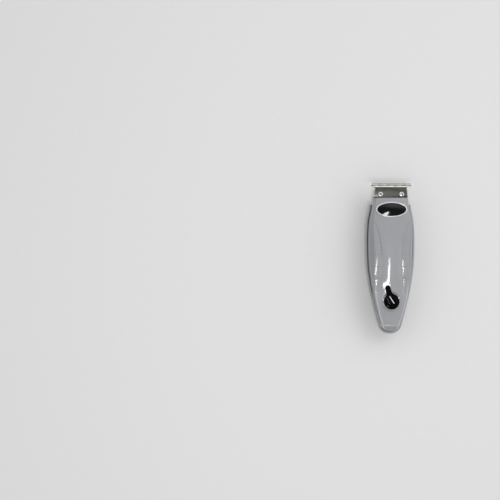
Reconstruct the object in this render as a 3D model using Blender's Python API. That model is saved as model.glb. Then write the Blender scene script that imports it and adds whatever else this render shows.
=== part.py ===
"""Cordless T-blade beard trimmer lying on its back: +X right, +Y towards the blade, +Z up.

Sizes are in millimetres and become metres when a mesh is made. The origin is on the surface that the
trimmer lies on, under the knob-to-blade centre line.
"""

import math
from dataclasses import dataclass

import bmesh
import bpy
from mathutils import Matrix, Vector

MM = 0.001

# Body outline: (place along Y, half width of the rim)
RIM_STATIONS = (
    (60.5, 20.3),
    (50.0, 21.2),
    (38.5, 23.5),
    (25.0, 24.5),
    (13.0, 24.65),
    (0.5, 24.3),
    (-11.5, 23.5),
    (-31.5, 20.35),
    (-51.5, 15.7),
    (-75.0, 9.4),
)
# Front crown: (place along Y, height of the crown line)
CROWN_STATIONS = (
    (60.5, 33.0),
    (45.0, 35.3),
    (25.0, 36.7),
    (8.0, 37.0),
    (-10.0, 36.4),
    (-30.0, 34.6),
    (-50.0, 32.2),
    (-75.0, 28.0),
)
# Back line: (place along Y, height of the back before it is cut flat)
BACK_STATIONS = (
    (60.5, 9.5),
    (48.0, 4.5),
    (34.0, 0.9),
    (22.0, -0.8),
    (0.0, -1.3),
    (-24.0, -0.6),
    (-40.0, 1.6),
    (-55.0, 4.2),
    (-75.0, 8.0),
)
# Grip line, where the front's middle lobe meets the side lobes: (place along Y, place across)
GRIP_STATIONS = (
    (44.0, 22.5),
    (36.5, 17.1),
    (27.5, 13.3),
    (15.5, 10.8),
    (3.5, 9.6),
    (-6.0, 9.7),
    (-20.0, 10.3),
    (-31.5, 11.4),
    (-45.0, 11.0),
    (-66.0, 7.2),
)
# Ridge, where the side lobes turn into the flanks: (place along Y, place across)
RIDGE_STATIONS = (
    (60.5, 13.6),
    (50.0, 14.6),
    (38.5, 16.6),
    (25.0, 16.4),
    (13.0, 15.0),
    (3.0, 14.0),
    (-9.0, 15.5),
    (-16.0, 16.2),
    (-26.0, 16.1),
    (-41.0, 14.5),
    (-56.0, 11.2),
    (-66.0, 7.8),
    (-75.0, 5.4),
)
# Fall from the crown to the grip line: (place along Y, height)
GRIP_FALL = (
    (60.5, 0.5),
    (46.0, 0.6),
    (34.0, 0.85),
    (22.0, 1.1),
    (0.0, 1.3),
    (-12.0, 1.4),
    (-20.0, 1.4),
    (-32.0, 1.15),
    (-45.0, 0.85),
    (-60.0, 0.6),
    (-75.0, 0.4),
)
# Fall from the crown to the ridge: (place along Y, height)
RIDGE_FALL = (
    (60.5, 0.9),
    (46.0, 1.1),
    (34.0, 1.2),
    (22.0, 1.25),
    (0.0, 1.25),
    (-20.0, 1.2),
    (-32.0, 1.2),
    (-45.0, 1.2),
    (-60.0, 1.0),
    (-75.0, 0.8),
)
# Grip steps on the side lobes: (place along Y of the upper edge, height)
GRIP_STEPS = (
    (15.5, 0.22),
    (4.0, 0.5),
    (-8.0, 0.6),
    (-20.0, 0.6),
    (-31.5, 0.35),
)

# Body
HEAD_Y = 60.5
TAIL_Y = -75.0
PARTING_Z = 17.0
WALL = 2.0
RIM_STEP = 2.6
RIM_STEP_TAIL = 2.6
RIM_TOP_DROP = 7.0
RIM_TOP_RAMP = 0.5
ROUND_LENGTH = 8.5
ROUND_POWER = 2.4
ROUND_END = 0.985
REAR_POWER = 2.6
FLANK_POWER = 2.3
CHAMFER_FROM_TAIL = 8.3
CHAMFER_SLOPE = 0.85
MAIN_SECTIONS = 12
ROUND_SECTIONS = 5
SECTION_STEPS = 14
SHOULDER_SECTIONS = 6
TAIL_SECTIONS = 4
FLANK_STEPS = 6
LOBE_STEPS = 4
GRIP_LIMIT = 0.8
RIDGE_LIMIT = 0.93
SIDE_BULGE = 0.15
STEP_LENGTH = 12.0
STEP_FACE = 0.22

# Fits
CLEARANCE = 0.3
SHORT = 0.2
OVERRUN = 1.0
SKIRT = 3.0

# Badge
BADGE_FROM_HEAD = 12.0
BADGE_LENGTH = 28.6
BADGE_WIDTH = 12.9
BEZEL_WIDTH = 1.0
BADGE_PROUD = 0.5
BEZEL_PROUD = 0.7
BADGE_SINK = 0.6

# Nose block and blades
NOSE_REACH = 7.5
NOSE_TONGUE = 7.5
NOSE_HALF_FRONT = 16.2
NOSE_HALF_REAR = 17.4
TONGUE_HALF = 13.0
NOSE_HEIGHT = 11.7
TOOTH_COUNT = 32
TOOTH_LENGTH = 2.2
TOOTH_GAP_SHARE = 0.42
PLATE_Z = 27.0
PLATE_THICKNESS = 2.0
PLATE_LENGTH = 14.2
PLATE_HALF_REAR = 16.6
PLATE_HALF_FRONT = 15.75
BAR_LENGTH = 3.7
BAR_HALF_REAR = 17.5
BAR_HALF_FRONT = 20.75
BAR_RISE = 0.8
BAR_BEVEL = 0.9
CUTTER_THICKNESS = 1.5
CUTTER_HALF_FRONT = 18.6
CUTTER_HALF_REAR = 15.0
CUTTER_TOOTH_COUNT = 24
CUTTER_SETBACK = 0.6
STEM_HALF = 5.0
CUTTER_TRAVEL = 0.9
SPRING_THICKNESS = 0.6
SPRING_HALF = 4.2
SPRING_ROOT = 5.0
BLADE_SCREW_X = 10.4
BLADE_SCREW_FROM_HEAD = 3.1
BLADE_SCREW_HEAD = 5.2
BLADE_SCREW_HEAD_HEIGHT = 1.7
BLADE_SCREW_SHANK = 3.0
BLADE_SCREW_LENGTH = 7.0

# Drive
YOKE_GAP = 2.0
YOKE_LENGTH = 4.0
YOKE_WALL = 2.0
YOKE_BRIDGE = 4.0
YOKE_REACH_BELOW = 0.8
RIVET_SHANK = 1.6
RIVET_HEAD = 3.0
RIVET_HEAD_HEIGHT = 0.8
RIVET_SPACING = 5.6
THROW = 0.9
ROLLER_DIAMETER = 5.0
CRANK_PIN_DIAMETER = 2.4
ECCENTRIC_DIAMETER = 8.0
ECCENTRIC_LENGTH = 3.8
DRIVE_GAP = 0.8
SHAFT_DIAMETER = 2.0
MOTOR_DIAMETER = 20.0
MOTOR_LENGTH = 28.0
CAN_WALL = 0.8
BUSH_DIAMETER = 6.0
BUSH_LENGTH = 2.0
BUSH_SEAT = 1.6
MOTOR_CAP_LENGTH = 1.6
MOTOR_CAP_SPIGOT = 1.4
MAGNET_THICKNESS = 2.1
MAGNET_SPAN = 120.0
MAGNET_MARGIN = 5.0
ARMATURE_GAP = 0.6
COMMUTATOR_DIAMETER = 5.0
COMMUTATOR_LENGTH = 2.6
TERMINAL_SPACING = 10.0
TERMINAL_WIDTH = 2.4
TERMINAL_HEIGHT = 3.6
TERMINAL_LENGTH = 3.6
DAMPER_THICKNESS = 1.7
DAMPER_LENGTH = 3.6
DAMPER_INSET = 4.0
RIB_THICKNESS = 2.0

# Power
CELL_DIAMETER = 14.2
CELL_LENGTH = 49.0
CELL_BOTTOM = 5.9
CELL_GAP = 4.0
CELL_NUB_DIAMETER = 5.5
CELL_NUB_LENGTH = 0.8
CELL_EDGE = 0.8
TAB_THICKNESS = 0.4
TAB_WIDTH = 5.0
TAB_RISE = 5.0
CRADLE_MARGIN = 8.0
BOARD_GAP = 0.5
BOARD_THICKNESS = 1.2
BOARD_SIDE_GAP = 0.7
BOARD_FRONT_FROM_KNOB = 20.0
BOARD_MARGIN = 4.0
POST_DIAMETER = 4.6
POST_SPACING = 11.0
JACK_HALF_WIDTH = 3.0
JACK_HEIGHT = 4.8
JACK_LENGTH = 9.5
JACK_Z = 13.3
JACK_FROM_TAIL = 6.4
JACK_NOSE_DIAMETER = 4.6
JACK_BORE_DIAMETER = 3.0
JACK_BORE_DEPTH = 9.0
JACK_PIN_DIAMETER = 1.2
LEAD_DIAMETER = 1.2
LEAD_POINTS = 20
LEAD_RISE = 1.0
LEAD_RUN = 8.0
LEAD_PULL = 9.0

# On/off lever
KNOB_Y = -42.5
KNOB_RADIUS = 7.7
KNOB_HEIGHT = 3.4
LEVER_WIDTH = 5.3
LEVER_REACH = 16.1
LEVER_HEIGHT = 3.0
LEVER_LEAN = 14.5
KNOB_EDGE = 0.5
RECESS_FLOOR_Z = 31.4
RECESS_GAP = 0.6
RECESS_WALL = 1.6
SPINDLE_DIAMETER = 4.0
SPINDLE_GRIP = 2.2
CRANK_RADIUS = 5.0
CRANK_HEIGHT = 1.8
CRANK_GAP = 0.8
CRANK_KEY_DIAMETER = 1.8
CRANK_KEY_LENGTH = 2.1
SWITCH_BASE_HALF = 6.0
SWITCH_BASE_LENGTH = 7.0
SWITCH_BASE_HEIGHT = 1.9
SLIDER_WALL = 1.4

# Screws through the back
SCREW_HEAD_Y = 46.0
SCREW_TAIL_Y = -36.0
SCREW_SHANK = 2.2
SCREW_HEAD = 4.4
SCREW_HEAD_HEIGHT = 1.6
SCREW_SEAT_DEPTH = 4.0
SCREW_GRIP = 7.0
SCREW_BOSS_WALL = 1.4
SMALL_SCREW_SHANK = 1.8
SMALL_SCREW_HEAD = 3.6
SMALL_SCREW_HEAD_HEIGHT = 1.2
SMALL_SCREW_LENGTH = 6.0
PAN_TOP_SHARE = 0.7

# Facets of round pieces, and the angle past which an edge stays sharp
LARGE_FACETS = 28
MEDIUM_FACETS = 18
SMALL_FACETS = 12
SHARP_ANGLE = math.radians(35.0)
MERGE = 1e-5

# Colours: base colour, roughness, metallic
FINISHES = {
    "shell_grey": ((0.34, 0.34, 0.36), 0.38, 0.25),
    "badge_black": ((0.008, 0.008, 0.009), 0.12, 0.0),
    "bright_steel": ((0.72, 0.72, 0.70), 0.2, 1.0),
    "blade_steel": ((0.20, 0.20, 0.19), 0.3, 1.0),
    "nose_silver": ((0.55, 0.55, 0.56), 0.3, 0.6),
    "lever_black": ((0.010, 0.010, 0.011), 0.4, 0.0),
    "motor_steel": ((0.50, 0.50, 0.50), 0.35, 1.0),
    "brass": ((0.60, 0.45, 0.18), 0.35, 1.0),
    "magnet_grey": ((0.06, 0.06, 0.06), 0.6, 0.2),
    "copper": ((0.55, 0.24, 0.12), 0.4, 1.0),
    "rubber_black": ((0.02, 0.02, 0.02), 0.8, 0.0),
    "cell_green": ((0.03, 0.20, 0.08), 0.4, 0.0),
    "board_green": ((0.02, 0.14, 0.06), 0.5, 0.0),
    "nylon_white": ((0.70, 0.70, 0.66), 0.5, 0.0),
    "lead_red": ((0.40, 0.02, 0.02), 0.5, 0.0),
    "lead_black": ((0.02, 0.02, 0.02), 0.5, 0.0),
}

# Places worked out from the sizes above
RIM_TOP_Y = HEAD_Y - RIM_TOP_DROP
FRONT_TAIL_Y = TAIL_Y + RIM_STEP_TAIL
NOSE_FACE_Y = HEAD_Y + CLEARANCE
NOSE_FRONT_Y = NOSE_FACE_Y + NOSE_REACH
NOSE_REAR_Y = HEAD_Y - NOSE_TONGUE
PLATE_TOP = PLATE_Z + PLATE_THICKNESS
PLATE_FRONT_Y = NOSE_FACE_Y + PLATE_LENGTH
BAR_REAR_Y = PLATE_FRONT_Y - BAR_LENGTH
CUTTER_TOP = PLATE_Z - CLEARANCE
CUTTER_BOTTOM = CUTTER_TOP - CUTTER_THICKNESS
CUTTER_FRONT_Y = PLATE_FRONT_Y - CUTTER_SETBACK
CUTTER_HEAD_Y = NOSE_FRONT_Y + CLEARANCE
NOSE_TOP = PLATE_Z - CLEARANCE
NOSE_BOTTOM = NOSE_TOP - NOSE_HEIGHT
SPRING_TOP = CUTTER_BOTTOM - CLEARANCE
SPRING_BOTTOM = SPRING_TOP - SPRING_THICKNESS
CHANNEL_FLOOR = SPRING_BOTTOM - CLEARANCE
CHANNEL_HALF = STEM_HALF + 2 * CUTTER_TRAVEL
BLADE_SCREW_Y = HEAD_Y + BLADE_SCREW_FROM_HEAD
SPRING_SCREW_Y = HEAD_Y - WALL - SMALL_SCREW_HEAD / 2 - 2 * CLEARANCE

YOKE_FRONT_Y = NOSE_REAR_Y - YOKE_GAP
YOKE_REAR_Y = YOKE_FRONT_Y - YOKE_LENGTH
YOKE_Y = (YOKE_FRONT_Y + YOKE_REAR_Y) / 2
YOKE_TOP = CUTTER_BOTTOM - CLEARANCE
DRIVE_Z = PARTING_Z
ROLLER_ORBIT = ROLLER_DIAMETER / 2 + THROW
SLOT_HALF = ROLLER_ORBIT + CUTTER_TRAVEL + CLEARANCE
SLOT_TOP = min(DRIVE_Z + ROLLER_ORBIT + CLEARANCE, YOKE_TOP - YOKE_BRIDGE / 2)
ECCENTRIC_FRONT_Y = YOKE_REAR_Y - DRIVE_GAP
ECCENTRIC_REAR_Y = ECCENTRIC_FRONT_Y - ECCENTRIC_LENGTH
BUSH_FRONT_Y = ECCENTRIC_REAR_Y - DRIVE_GAP
CAN_FRONT_Y = BUSH_FRONT_Y - BUSH_LENGTH
CAN_REAR_Y = CAN_FRONT_Y - MOTOR_LENGTH
CAP_FRONT_Y = CAN_REAR_Y - CLEARANCE
CAP_REAR_Y = CAP_FRONT_Y - MOTOR_CAP_LENGTH
TERMINAL_FRONT_Y = CAP_REAR_Y - CLEARANCE
TERMINAL_REAR_Y = TERMINAL_FRONT_Y - TERMINAL_LENGTH
CAN_RADIUS = MOTOR_DIAMETER / 2
CAN_BORE = CAN_RADIUS - CAN_WALL
MAGNET_OUTER = CAN_BORE - CLEARANCE
MAGNET_INNER = MAGNET_OUTER - MAGNET_THICKNESS
ARMATURE_RADIUS = MAGNET_INNER - ARMATURE_GAP
DAMPER_INNER = CAN_RADIUS + CLEARANCE
DAMPER_OUTER = DAMPER_INNER + DAMPER_THICKNESS
DAMPER_PLACES = (CAN_FRONT_Y - DAMPER_INSET, CAN_REAR_Y + DAMPER_INSET)

CELL_RADIUS = CELL_DIAMETER / 2
CELL_Z = CELL_BOTTOM + CELL_RADIUS
CELL_FRONT_Y = TERMINAL_REAR_Y - CELL_GAP
CELL_REAR_Y = CELL_FRONT_Y - CELL_LENGTH
TAB_REAR_Y = CELL_REAR_Y - CLEARANCE - TAB_THICKNESS
BOARD_BOTTOM = CELL_Z + CELL_RADIUS + BOARD_GAP
BOARD_TOP = BOARD_BOTTOM + BOARD_THICKNESS
POST_Y = TAB_REAR_Y - CLEARANCE - POST_DIAMETER / 2 - OVERRUN
BOARD_FRONT_Y = KNOB_Y + BOARD_FRONT_FROM_KNOB
BOARD_REAR_Y = POST_Y - BOARD_MARGIN
JACK_REAR_Y = TAIL_Y + JACK_FROM_TAIL
JACK_FRONT_Y = JACK_REAR_Y + JACK_LENGTH
JACK_TIP_Y = TAIL_Y + CLEARANCE

POCKET_BOTTOM = RECESS_FLOOR_Z - WALL
CRANK_TOP = POCKET_BOTTOM - CRANK_GAP
CRANK_BOTTOM = CRANK_TOP - CRANK_HEIGHT
KNOB_BOTTOM = RECESS_FLOOR_Z + CLEARANCE
SWITCH_BASE_BOTTOM = BOARD_TOP + CLEARANCE
SWITCH_BASE_TOP = SWITCH_BASE_BOTTOM + SWITCH_BASE_HEIGHT
SLIDER_BOTTOM = SWITCH_BASE_TOP + CLEARANCE
SLIDER_TOP = CRANK_BOTTOM - CLEARANCE
LEAN = math.radians(LEVER_LEAN)
SLIDER_X = -CRANK_RADIUS * math.sin(LEAN)
CRANK_KEY_Y = KNOB_Y + CRANK_RADIUS * math.cos(LEAN)

SCREW_BOSS_RADIUS = SCREW_SHANK / 2 + CLEARANCE + SCREW_BOSS_WALL
SCREW_TUBE_RADIUS = SCREW_HEAD / 2 + CLEARANCE + SCREW_BOSS_WALL


def smooth(stations, y):
    """Return the height of a smooth curve through (y, value) stations that run from head to tail."""
    points = sorted(stations)
    last = len(points) - 1
    slopes = []
    for index in range(len(points)):
        before = points[max(index - 1, 0)]
        after = points[min(index + 1, last)]
        slopes.append((after[1] - before[1]) / (after[0] - before[0]))
    if y <= points[0][0]:
        return points[0][1] + slopes[0] * (y - points[0][0])
    if y >= points[last][0]:
        return points[last][1] + slopes[last] * (y - points[last][0])
    index = max(i for i in range(last) if points[i][0] <= y)
    (y0, v0), (y1, v1) = points[index], points[index + 1]
    span = y1 - y0
    t = (y - y0) / span
    rise = t * t * (3 - 2 * t)
    start = t * (1 - t) ** 2 * span * slopes[index]
    end = t * t * (1 - t) * span * slopes[index + 1]
    return v0 + (v1 - v0) * rise + start - end


def spread(start, end, count):
    """Return places from just after a start to an end, at equal distances."""
    return [start + (end - start) * index / count for index in range(1, count + 1)]


@dataclass(frozen=True)
class HalfShell:
    """One half of the body: its side of the parting plane, its tail end and its step inside the rim."""

    side: int
    edge_z: float
    tail_y: float
    step: float

    def half_width(self, y, inset=0.0):
        """Return half the width at the parting edge, on a skin that lies inset inside the outer one.

        Both halves have the same inner skin, so the front's edge stands on the rear's rim.
        """
        step = RIM_STEP if inset or y > RIM_TOP_Y else self.step
        width = smooth(RIM_STATIONS, y) - step - inset
        round_start = TAIL_Y + ROUND_LENGTH + inset
        if y < round_start:
            share = (round_start - y) / (round_start - self.end_y(inset))
            width *= (1 - min(share, ROUND_END) ** ROUND_POWER) ** (1 / ROUND_POWER)
        return width

    def end_y(self, inset=0.0):
        """Return the place along Y of the tail end of a skin."""
        return (FRONT_TAIL_Y if inset else self.tail_y) + inset

    def depth(self, y, inset=0.0):
        """Return how far the section reaches from the parting edge."""
        if self.side > 0:
            chamfer_y = TAIL_Y + CHAMFER_FROM_TAIL
            crown = smooth(CROWN_STATIONS, y)
            if y < chamfer_y:
                crown = smooth(CROWN_STATIONS, chamfer_y) - CHAMFER_SLOPE * (chamfer_y - y)
            return crown - self.edge_z - inset
        back = smooth(BACK_STATIONS, y)
        if inset:
            back = max(back, 0.0)
        return self.edge_z - back - inset

    def surface_z(self, x, y):
        """Return the height of the back above or below a place in plan."""
        share = min(abs(x) / self.half_width(y), 1.0)
        return self.edge_z + self.side * self.depth(y) * (1 - share ** REAR_POWER) ** (1 / REAR_POWER)

    def stations(self, inset=0.0):
        """Return the places along Y of the sections, head first."""
        head = HEAD_Y - inset
        round_start = TAIL_Y + ROUND_LENGTH + inset
        places = [head, RIM_TOP_Y + RIM_TOP_RAMP, RIM_TOP_Y]
        if self.side > 0:
            places += spread(RIM_TOP_Y, GRIP_STEPS[0][0] + 2 * STEP_FACE, SHOULDER_SECTIONS)
            for upper, _ in GRIP_STEPS:
                places += [upper + STEP_FACE, upper - STEP_FACE, upper - STEP_LENGTH / 2]
            places += spread(GRIP_STEPS[-1][0] - STEP_LENGTH / 2, round_start, TAIL_SECTIONS)
        else:
            places += spread(RIM_TOP_Y, round_start, MAIN_SECTIONS)
        for index in range(1, ROUND_SECTIONS + 1):
            share = ROUND_END * math.sin(math.pi / 2 * index / ROUND_SECTIONS)
            places.append(round_start + (self.end_y(inset) - round_start) * share)
        return places

    def grip_rise(self, y):
        """Return how far a grip step stands out at a place along Y, most just below its upper edge."""
        for upper, height in GRIP_STEPS:
            if upper - STEP_LENGTH < y < upper:
                return height * (1 - ((upper - y) / STEP_LENGTH) ** 2)
        return 0.0

    def lobed(self, y, inset=0.0):
        """Return the right half of a front section: the middle lobe, a side lobe and the flank, outwards."""
        width = self.half_width(y, inset)
        ridge = min(smooth(RIDGE_STATIONS, y) - inset, RIDGE_LIMIT * width)
        line = min(smooth(GRIP_STATIONS, y), GRIP_LIMIT * ridge)
        crown = self.edge_z + self.depth(y, inset)
        valley = crown - smooth(GRIP_FALL, y)
        corner = crown - smooth(RIDGE_FALL, y)
        rise = self.grip_rise(y)
        points = [(0.0, crown)]
        for share in spread(0.0, 1.0, LOBE_STEPS):
            points.append((share * line, crown + (valley - crown) * share * share))
        for share in spread(0.0, 1.0, LOBE_STEPS):
            bulge = 4 * SIDE_BULGE * share * (1 - share)
            step = rise * min(2 * share, 1.0)
            points.append((line + (ridge - line) * share, valley + (corner - valley) * share + bulge + step))
        for angle in spread(math.pi / 2, 0.0, FLANK_STEPS):
            across = math.cos(angle) ** (2 / FLANK_POWER)
            along = math.sin(angle) ** (2 / FLANK_POWER)
            x = ridge + (width - ridge) * across + rise * across * along
            points.append((x, self.edge_z + (corner + rise - self.edge_z) * along))
        return points

    def rounded(self, y, inset=0.0):
        """Return the right half of a rear section, from its middle outwards."""
        width = self.half_width(y, inset)
        depth = self.depth(y, inset)
        points = [(0.0, self.edge_z + self.side * depth)]
        for angle in spread(math.pi / 2, 0.0, SECTION_STEPS // 2):
            across = math.cos(angle) ** (2 / REAR_POWER)
            along = math.sin(angle) ** (2 / REAR_POWER)
            points.append((width * across, self.edge_z + self.side * depth * along))
        return points

    def section(self, y, inset=0.0, skirt=0.0):
        """Return the points of one section from the right edge over to the left edge."""
        right = self.lobed(y, inset) if self.side > 0 else self.rounded(y, inset)
        width = right[-1][0]
        points = [(x, y, max(z, 0.0)) for x, z in reversed(right)]
        points += [(-x, y, max(z, 0.0)) for x, z in right[1:]]
        if skirt:
            low = self.edge_z - self.side * skirt
            points = [(width, y, low)] + points + [(-width, y, low)]
        return points


FRONT = HalfShell(1, PARTING_Z + CLEARANCE, FRONT_TAIL_Y, RIM_STEP)
REAR = HalfShell(-1, PARTING_Z, TAIL_Y, 0.0)

HEAD_SCREW_X = FRONT.half_width(SCREW_HEAD_Y, WALL) - SCREW_BOSS_RADIUS - CLEARANCE
TAIL_SCREW_X = FRONT.half_width(SCREW_TAIL_Y, WALL) - SCREW_BOSS_RADIUS - CLEARANCE
SCREW_PLACES = (
    (-HEAD_SCREW_X, SCREW_HEAD_Y),
    (HEAD_SCREW_X, SCREW_HEAD_Y),
    (-TAIL_SCREW_X, SCREW_TAIL_Y),
    (TAIL_SCREW_X, SCREW_TAIL_Y),
)
BOARD_HALF = min(
    TAIL_SCREW_X - SCREW_BOSS_RADIUS - BOARD_SIDE_GAP,
    FRONT.half_width(BOARD_REAR_Y, WALL) - 2 * BOARD_SIDE_GAP,
)


def clear_scene():
    """Remove what the scene holds before the model is made."""
    for item in list(bpy.data.objects):
        bpy.data.objects.remove(item, do_unlink=True)


def finish_material(name):
    """Return the named finish as a material, made on first use."""
    material = bpy.data.materials.get(name)
    if material is None:
        colour, roughness, metallic = FINISHES[name]
        material = bpy.data.materials.new(name)
        material.use_nodes = True
        shader = material.node_tree.nodes["Principled BSDF"]
        shader.inputs["Base Color"].default_value = (*colour, 1.0)
        shader.inputs["Roughness"].default_value = roughness
        shader.inputs["Metallic"].default_value = metallic
    return material


def make_object(name, shape, origin=(0.0, 0.0, 0.0)):
    """Turn a shape in millimetres into an object whose origin is at the given place."""
    place = Vector(origin)
    bmesh.ops.recalc_face_normals(shape, faces=shape.faces)
    bmesh.ops.translate(shape, verts=shape.verts, vec=-place)
    bmesh.ops.scale(shape, verts=shape.verts, vec=(MM, MM, MM))
    mesh = bpy.data.meshes.new(name)
    shape.to_mesh(mesh)
    shape.free()
    mesh.shade_smooth()
    mesh.set_sharp_from_angle(angle=SHARP_ANGLE)
    item = bpy.data.objects.new(name, mesh)
    item.location = place * MM
    bpy.context.scene.collection.objects.link(item)
    return item


def piece(name, shape, finish, origin=(0.0, 0.0, 0.0)):
    """Add one piece of the trimmer."""
    item = make_object(name, shape, origin)
    item.data.materials.append(finish_material(finish))
    return item


def guide(name, shape):
    """Add a hidden shape that only cuts, clips or joins others."""
    item = make_object(name, shape)
    item.hide_render = True
    item.display_type = "WIRE"
    return item


def boolean(item, other, operation):
    """Cut, join or clip one object with another."""
    modifier = item.modifiers.new(other.name, "BOOLEAN")
    modifier.operation = operation
    modifier.solver = "EXACT"
    modifier.object = other


def cut(item, *cutters):
    """Take each cutter away from an object."""
    for cutter in cutters:
        boolean(item, cutter, "DIFFERENCE")


def join(item, *others):
    """Join each other shape to an object."""
    for other in others:
        boolean(item, other, "UNION")


def merge_shapes(*shapes):
    """Return several separate shapes as one."""
    whole = shapes[0]
    for shape in shapes[1:]:
        scratch = bpy.data.meshes.new("scratch")
        shape.to_mesh(scratch)
        shape.free()
        whole.from_mesh(scratch)
        bpy.data.meshes.remove(scratch)
    return whole


def prism(outline, bottom, top):
    """Return an outline in plan, raised from one height to another."""
    shape = bmesh.new()
    base = [shape.verts.new((x, y, bottom)) for x, y in outline]
    face = shape.faces.new(base)
    raised = bmesh.ops.extrude_face_region(shape, geom=[face])["geom"]
    lifted = [item for item in raised if isinstance(item, bmesh.types.BMVert)]
    bmesh.ops.translate(shape, verts=lifted, vec=(0.0, 0.0, top - bottom))
    return shape


def box(x_range, y_range, z_range):
    """Return a box between three pairs of limits."""
    (x0, x1), (y0, y1) = x_range, y_range
    return prism(((x0, y0), (x1, y0), (x1, y1), (x0, y1)), *z_range)


def turned(profile, facets, centre, along="Z", hollow=False):
    """Return a (radius, place along the axis) profile turned about an axis through a point."""
    shape = bmesh.new()
    verts = [shape.verts.new((radius, 0.0, place)) for radius, place in profile]
    pairs = list(zip(verts, verts[1:]))
    if hollow:
        pairs.append((verts[-1], verts[0]))
    edges = [shape.edges.new(pair) for pair in pairs]
    bmesh.ops.spin(
        shape,
        geom=verts + edges,
        axis=(0.0, 0.0, 1.0),
        cent=(0.0, 0.0, 0.0),
        angle=math.tau,
        steps=facets,
        use_merge=True,
    )
    bmesh.ops.remove_doubles(shape, verts=shape.verts, dist=MERGE)
    if along == "Y":
        turn = Matrix.Rotation(-math.pi / 2, 3, "X")
        bmesh.ops.rotate(shape, verts=shape.verts, cent=(0.0, 0.0, 0.0), matrix=turn)
    bmesh.ops.translate(shape, verts=shape.verts, vec=centre)
    return shape


def rod(radius, limits, facets, centre, along="Z"):
    """Return a solid cylinder whose limits along its axis are measured from the centre."""
    start, end = limits
    return turned(((0.0, start), (radius, start), (radius, end), (0.0, end)), facets, centre, along)


def ring(inner, outer, limits, facets, centre, along="Z"):
    """Return a plain ring."""
    start, end = limits
    profile = ((inner, start), (outer, start), (outer, end), (inner, end))
    return turned(profile, facets, centre, along, hollow=True)


def pan_screw(shank, head, head_height, seat, tip, place, upright=True):
    """Return a pan-head screw whose head sits on the seat height and whose tip is at the tip height."""
    way = 1 if upright else -1
    shank_radius = shank / 2
    head_radius = head / 2
    point = tip + way * shank_radius
    shoulder = seat + way * head_height / 2
    crown = seat + way * head_height
    profile = (
        (0.0, tip),
        (shank_radius / 2, tip),
        (shank_radius, point),
        (shank_radius, seat),
        (head_radius, seat),
        (head_radius, shoulder),
        (head_radius * PAN_TOP_SHARE, crown),
        (0.0, crown),
    )
    return turned(profile, SMALL_FACETS, (*place, 0.0))


def skin(half, inset, skirt=SKIRT):
    """Return the solid inside a half's outer skin moved in by the inset, with a skirt past the edge."""
    shape = bmesh.new()
    rings = []
    for y in half.stations(inset):
        rings.append([shape.verts.new(point) for point in half.section(y, inset, skirt)])
    for first, second in zip(rings, rings[1:]):
        for index in range(len(first)):
            after = (index + 1) % len(first)
            shape.faces.new((first[index], first[after], second[after], second[index]))
    shape.faces.new(rings[0])
    shape.faces.new(rings[-1])
    return shape


def hollow_half(half):
    """Return a half of the body as a wall that is open at the parting edge."""
    shape = bmesh.new()
    skins = []
    for inset in (0.0, WALL):
        rings = []
        for y in half.stations(inset):
            rings.append([shape.verts.new(point) for point in half.section(y, inset)])
        skins.append(rings)
    for rings in skins:
        for first, second in zip(rings, rings[1:]):
            for index in range(len(first) - 1):
                shape.faces.new((first[index], first[index + 1], second[index + 1], second[index]))
        shape.faces.new(rings[0])
        shape.faces.new(rings[-1])
    outer, inner = skins
    for index in range(len(outer) - 1):
        after = index + 1
        for edge in (0, -1):
            shape.faces.new((outer[index][edge], outer[after][edge], inner[after][edge], inner[index][edge]))
    for end in (0, -1):
        shape.faces.new((outer[end][0], outer[end][-1], inner[end][-1], inner[end][0]))
    return shape


def ellipse(length, width, centre_y, facets):
    """Return an ellipse in plan, long across the body."""
    points = []
    for index in range(facets):
        angle = math.tau * index / facets
        points.append((length / 2 * math.cos(angle), centre_y + width / 2 * math.sin(angle)))
    return points


def arc(centre, radius, start, end, steps):
    """Return points of an arc, with its angles in radians from +X."""
    points = []
    for index in range(steps + 1):
        angle = start + (end - start) * index / steps
        points.append((centre[0] + radius * math.cos(angle), centre[1] + radius * math.sin(angle)))
    return points


def lever_outline(lean_left, lean_right, extra):
    """Return the plan of the lever's sweep between two leans, about the knob's centre, grown by extra."""
    half = LEVER_WIDTH / 2 + extra
    disc = KNOB_RADIUS + extra
    end_radius = LEVER_REACH + extra - half
    centre = (0.0, KNOB_Y)
    up = math.pi / 2
    corner = math.asin(half / disc)
    left_end = (-end_radius * math.sin(lean_left), KNOB_Y + end_radius * math.cos(lean_left))
    right_end = (-end_radius * math.sin(lean_right), KNOB_Y + end_radius * math.cos(lean_right))
    points = arc(centre, disc, up + lean_left + corner, math.tau + up + lean_right - corner, MEDIUM_FACETS)
    points += arc(right_end, half, lean_right, up + lean_right, SMALL_FACETS // 2)
    if lean_left > lean_right:
        points += arc(centre, end_radius + half, up + lean_right, up + lean_left, SMALL_FACETS // 2)[1:-1]
        points += arc(left_end, half, up + lean_left, math.pi + lean_left, SMALL_FACETS // 2)
    else:
        points += arc(left_end, half, up + lean_left, math.pi + lean_left, SMALL_FACETS // 2)[1:]
    return points


def comb_outline(front_y, rear_y, half_front, half_rear, teeth):
    """Return the plan of a toothed bar: straight rear corners first, then the teeth from right to left."""
    points = [(-half_rear, rear_y), (half_rear, rear_y)]
    pitch = 2 * half_front / teeth
    root_y = front_y - TOOTH_LENGTH
    root_half = half_front - (half_front - half_rear) * TOOTH_LENGTH / (front_y - rear_y)
    draw_in = root_half / half_front
    gap = pitch * TOOTH_GAP_SHARE / 2
    for index in range(teeth):
        right = half_front - index * pitch
        left = right - pitch
        if index:
            points += [(draw_in * right - gap / 2, root_y), (right - gap, front_y)]
        else:
            points.append((right, front_y))
        if index < teeth - 1:
            points += [(left + gap, front_y), (draw_in * left + gap / 2, root_y)]
        else:
            points.append((left, front_y))
    return points


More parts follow.
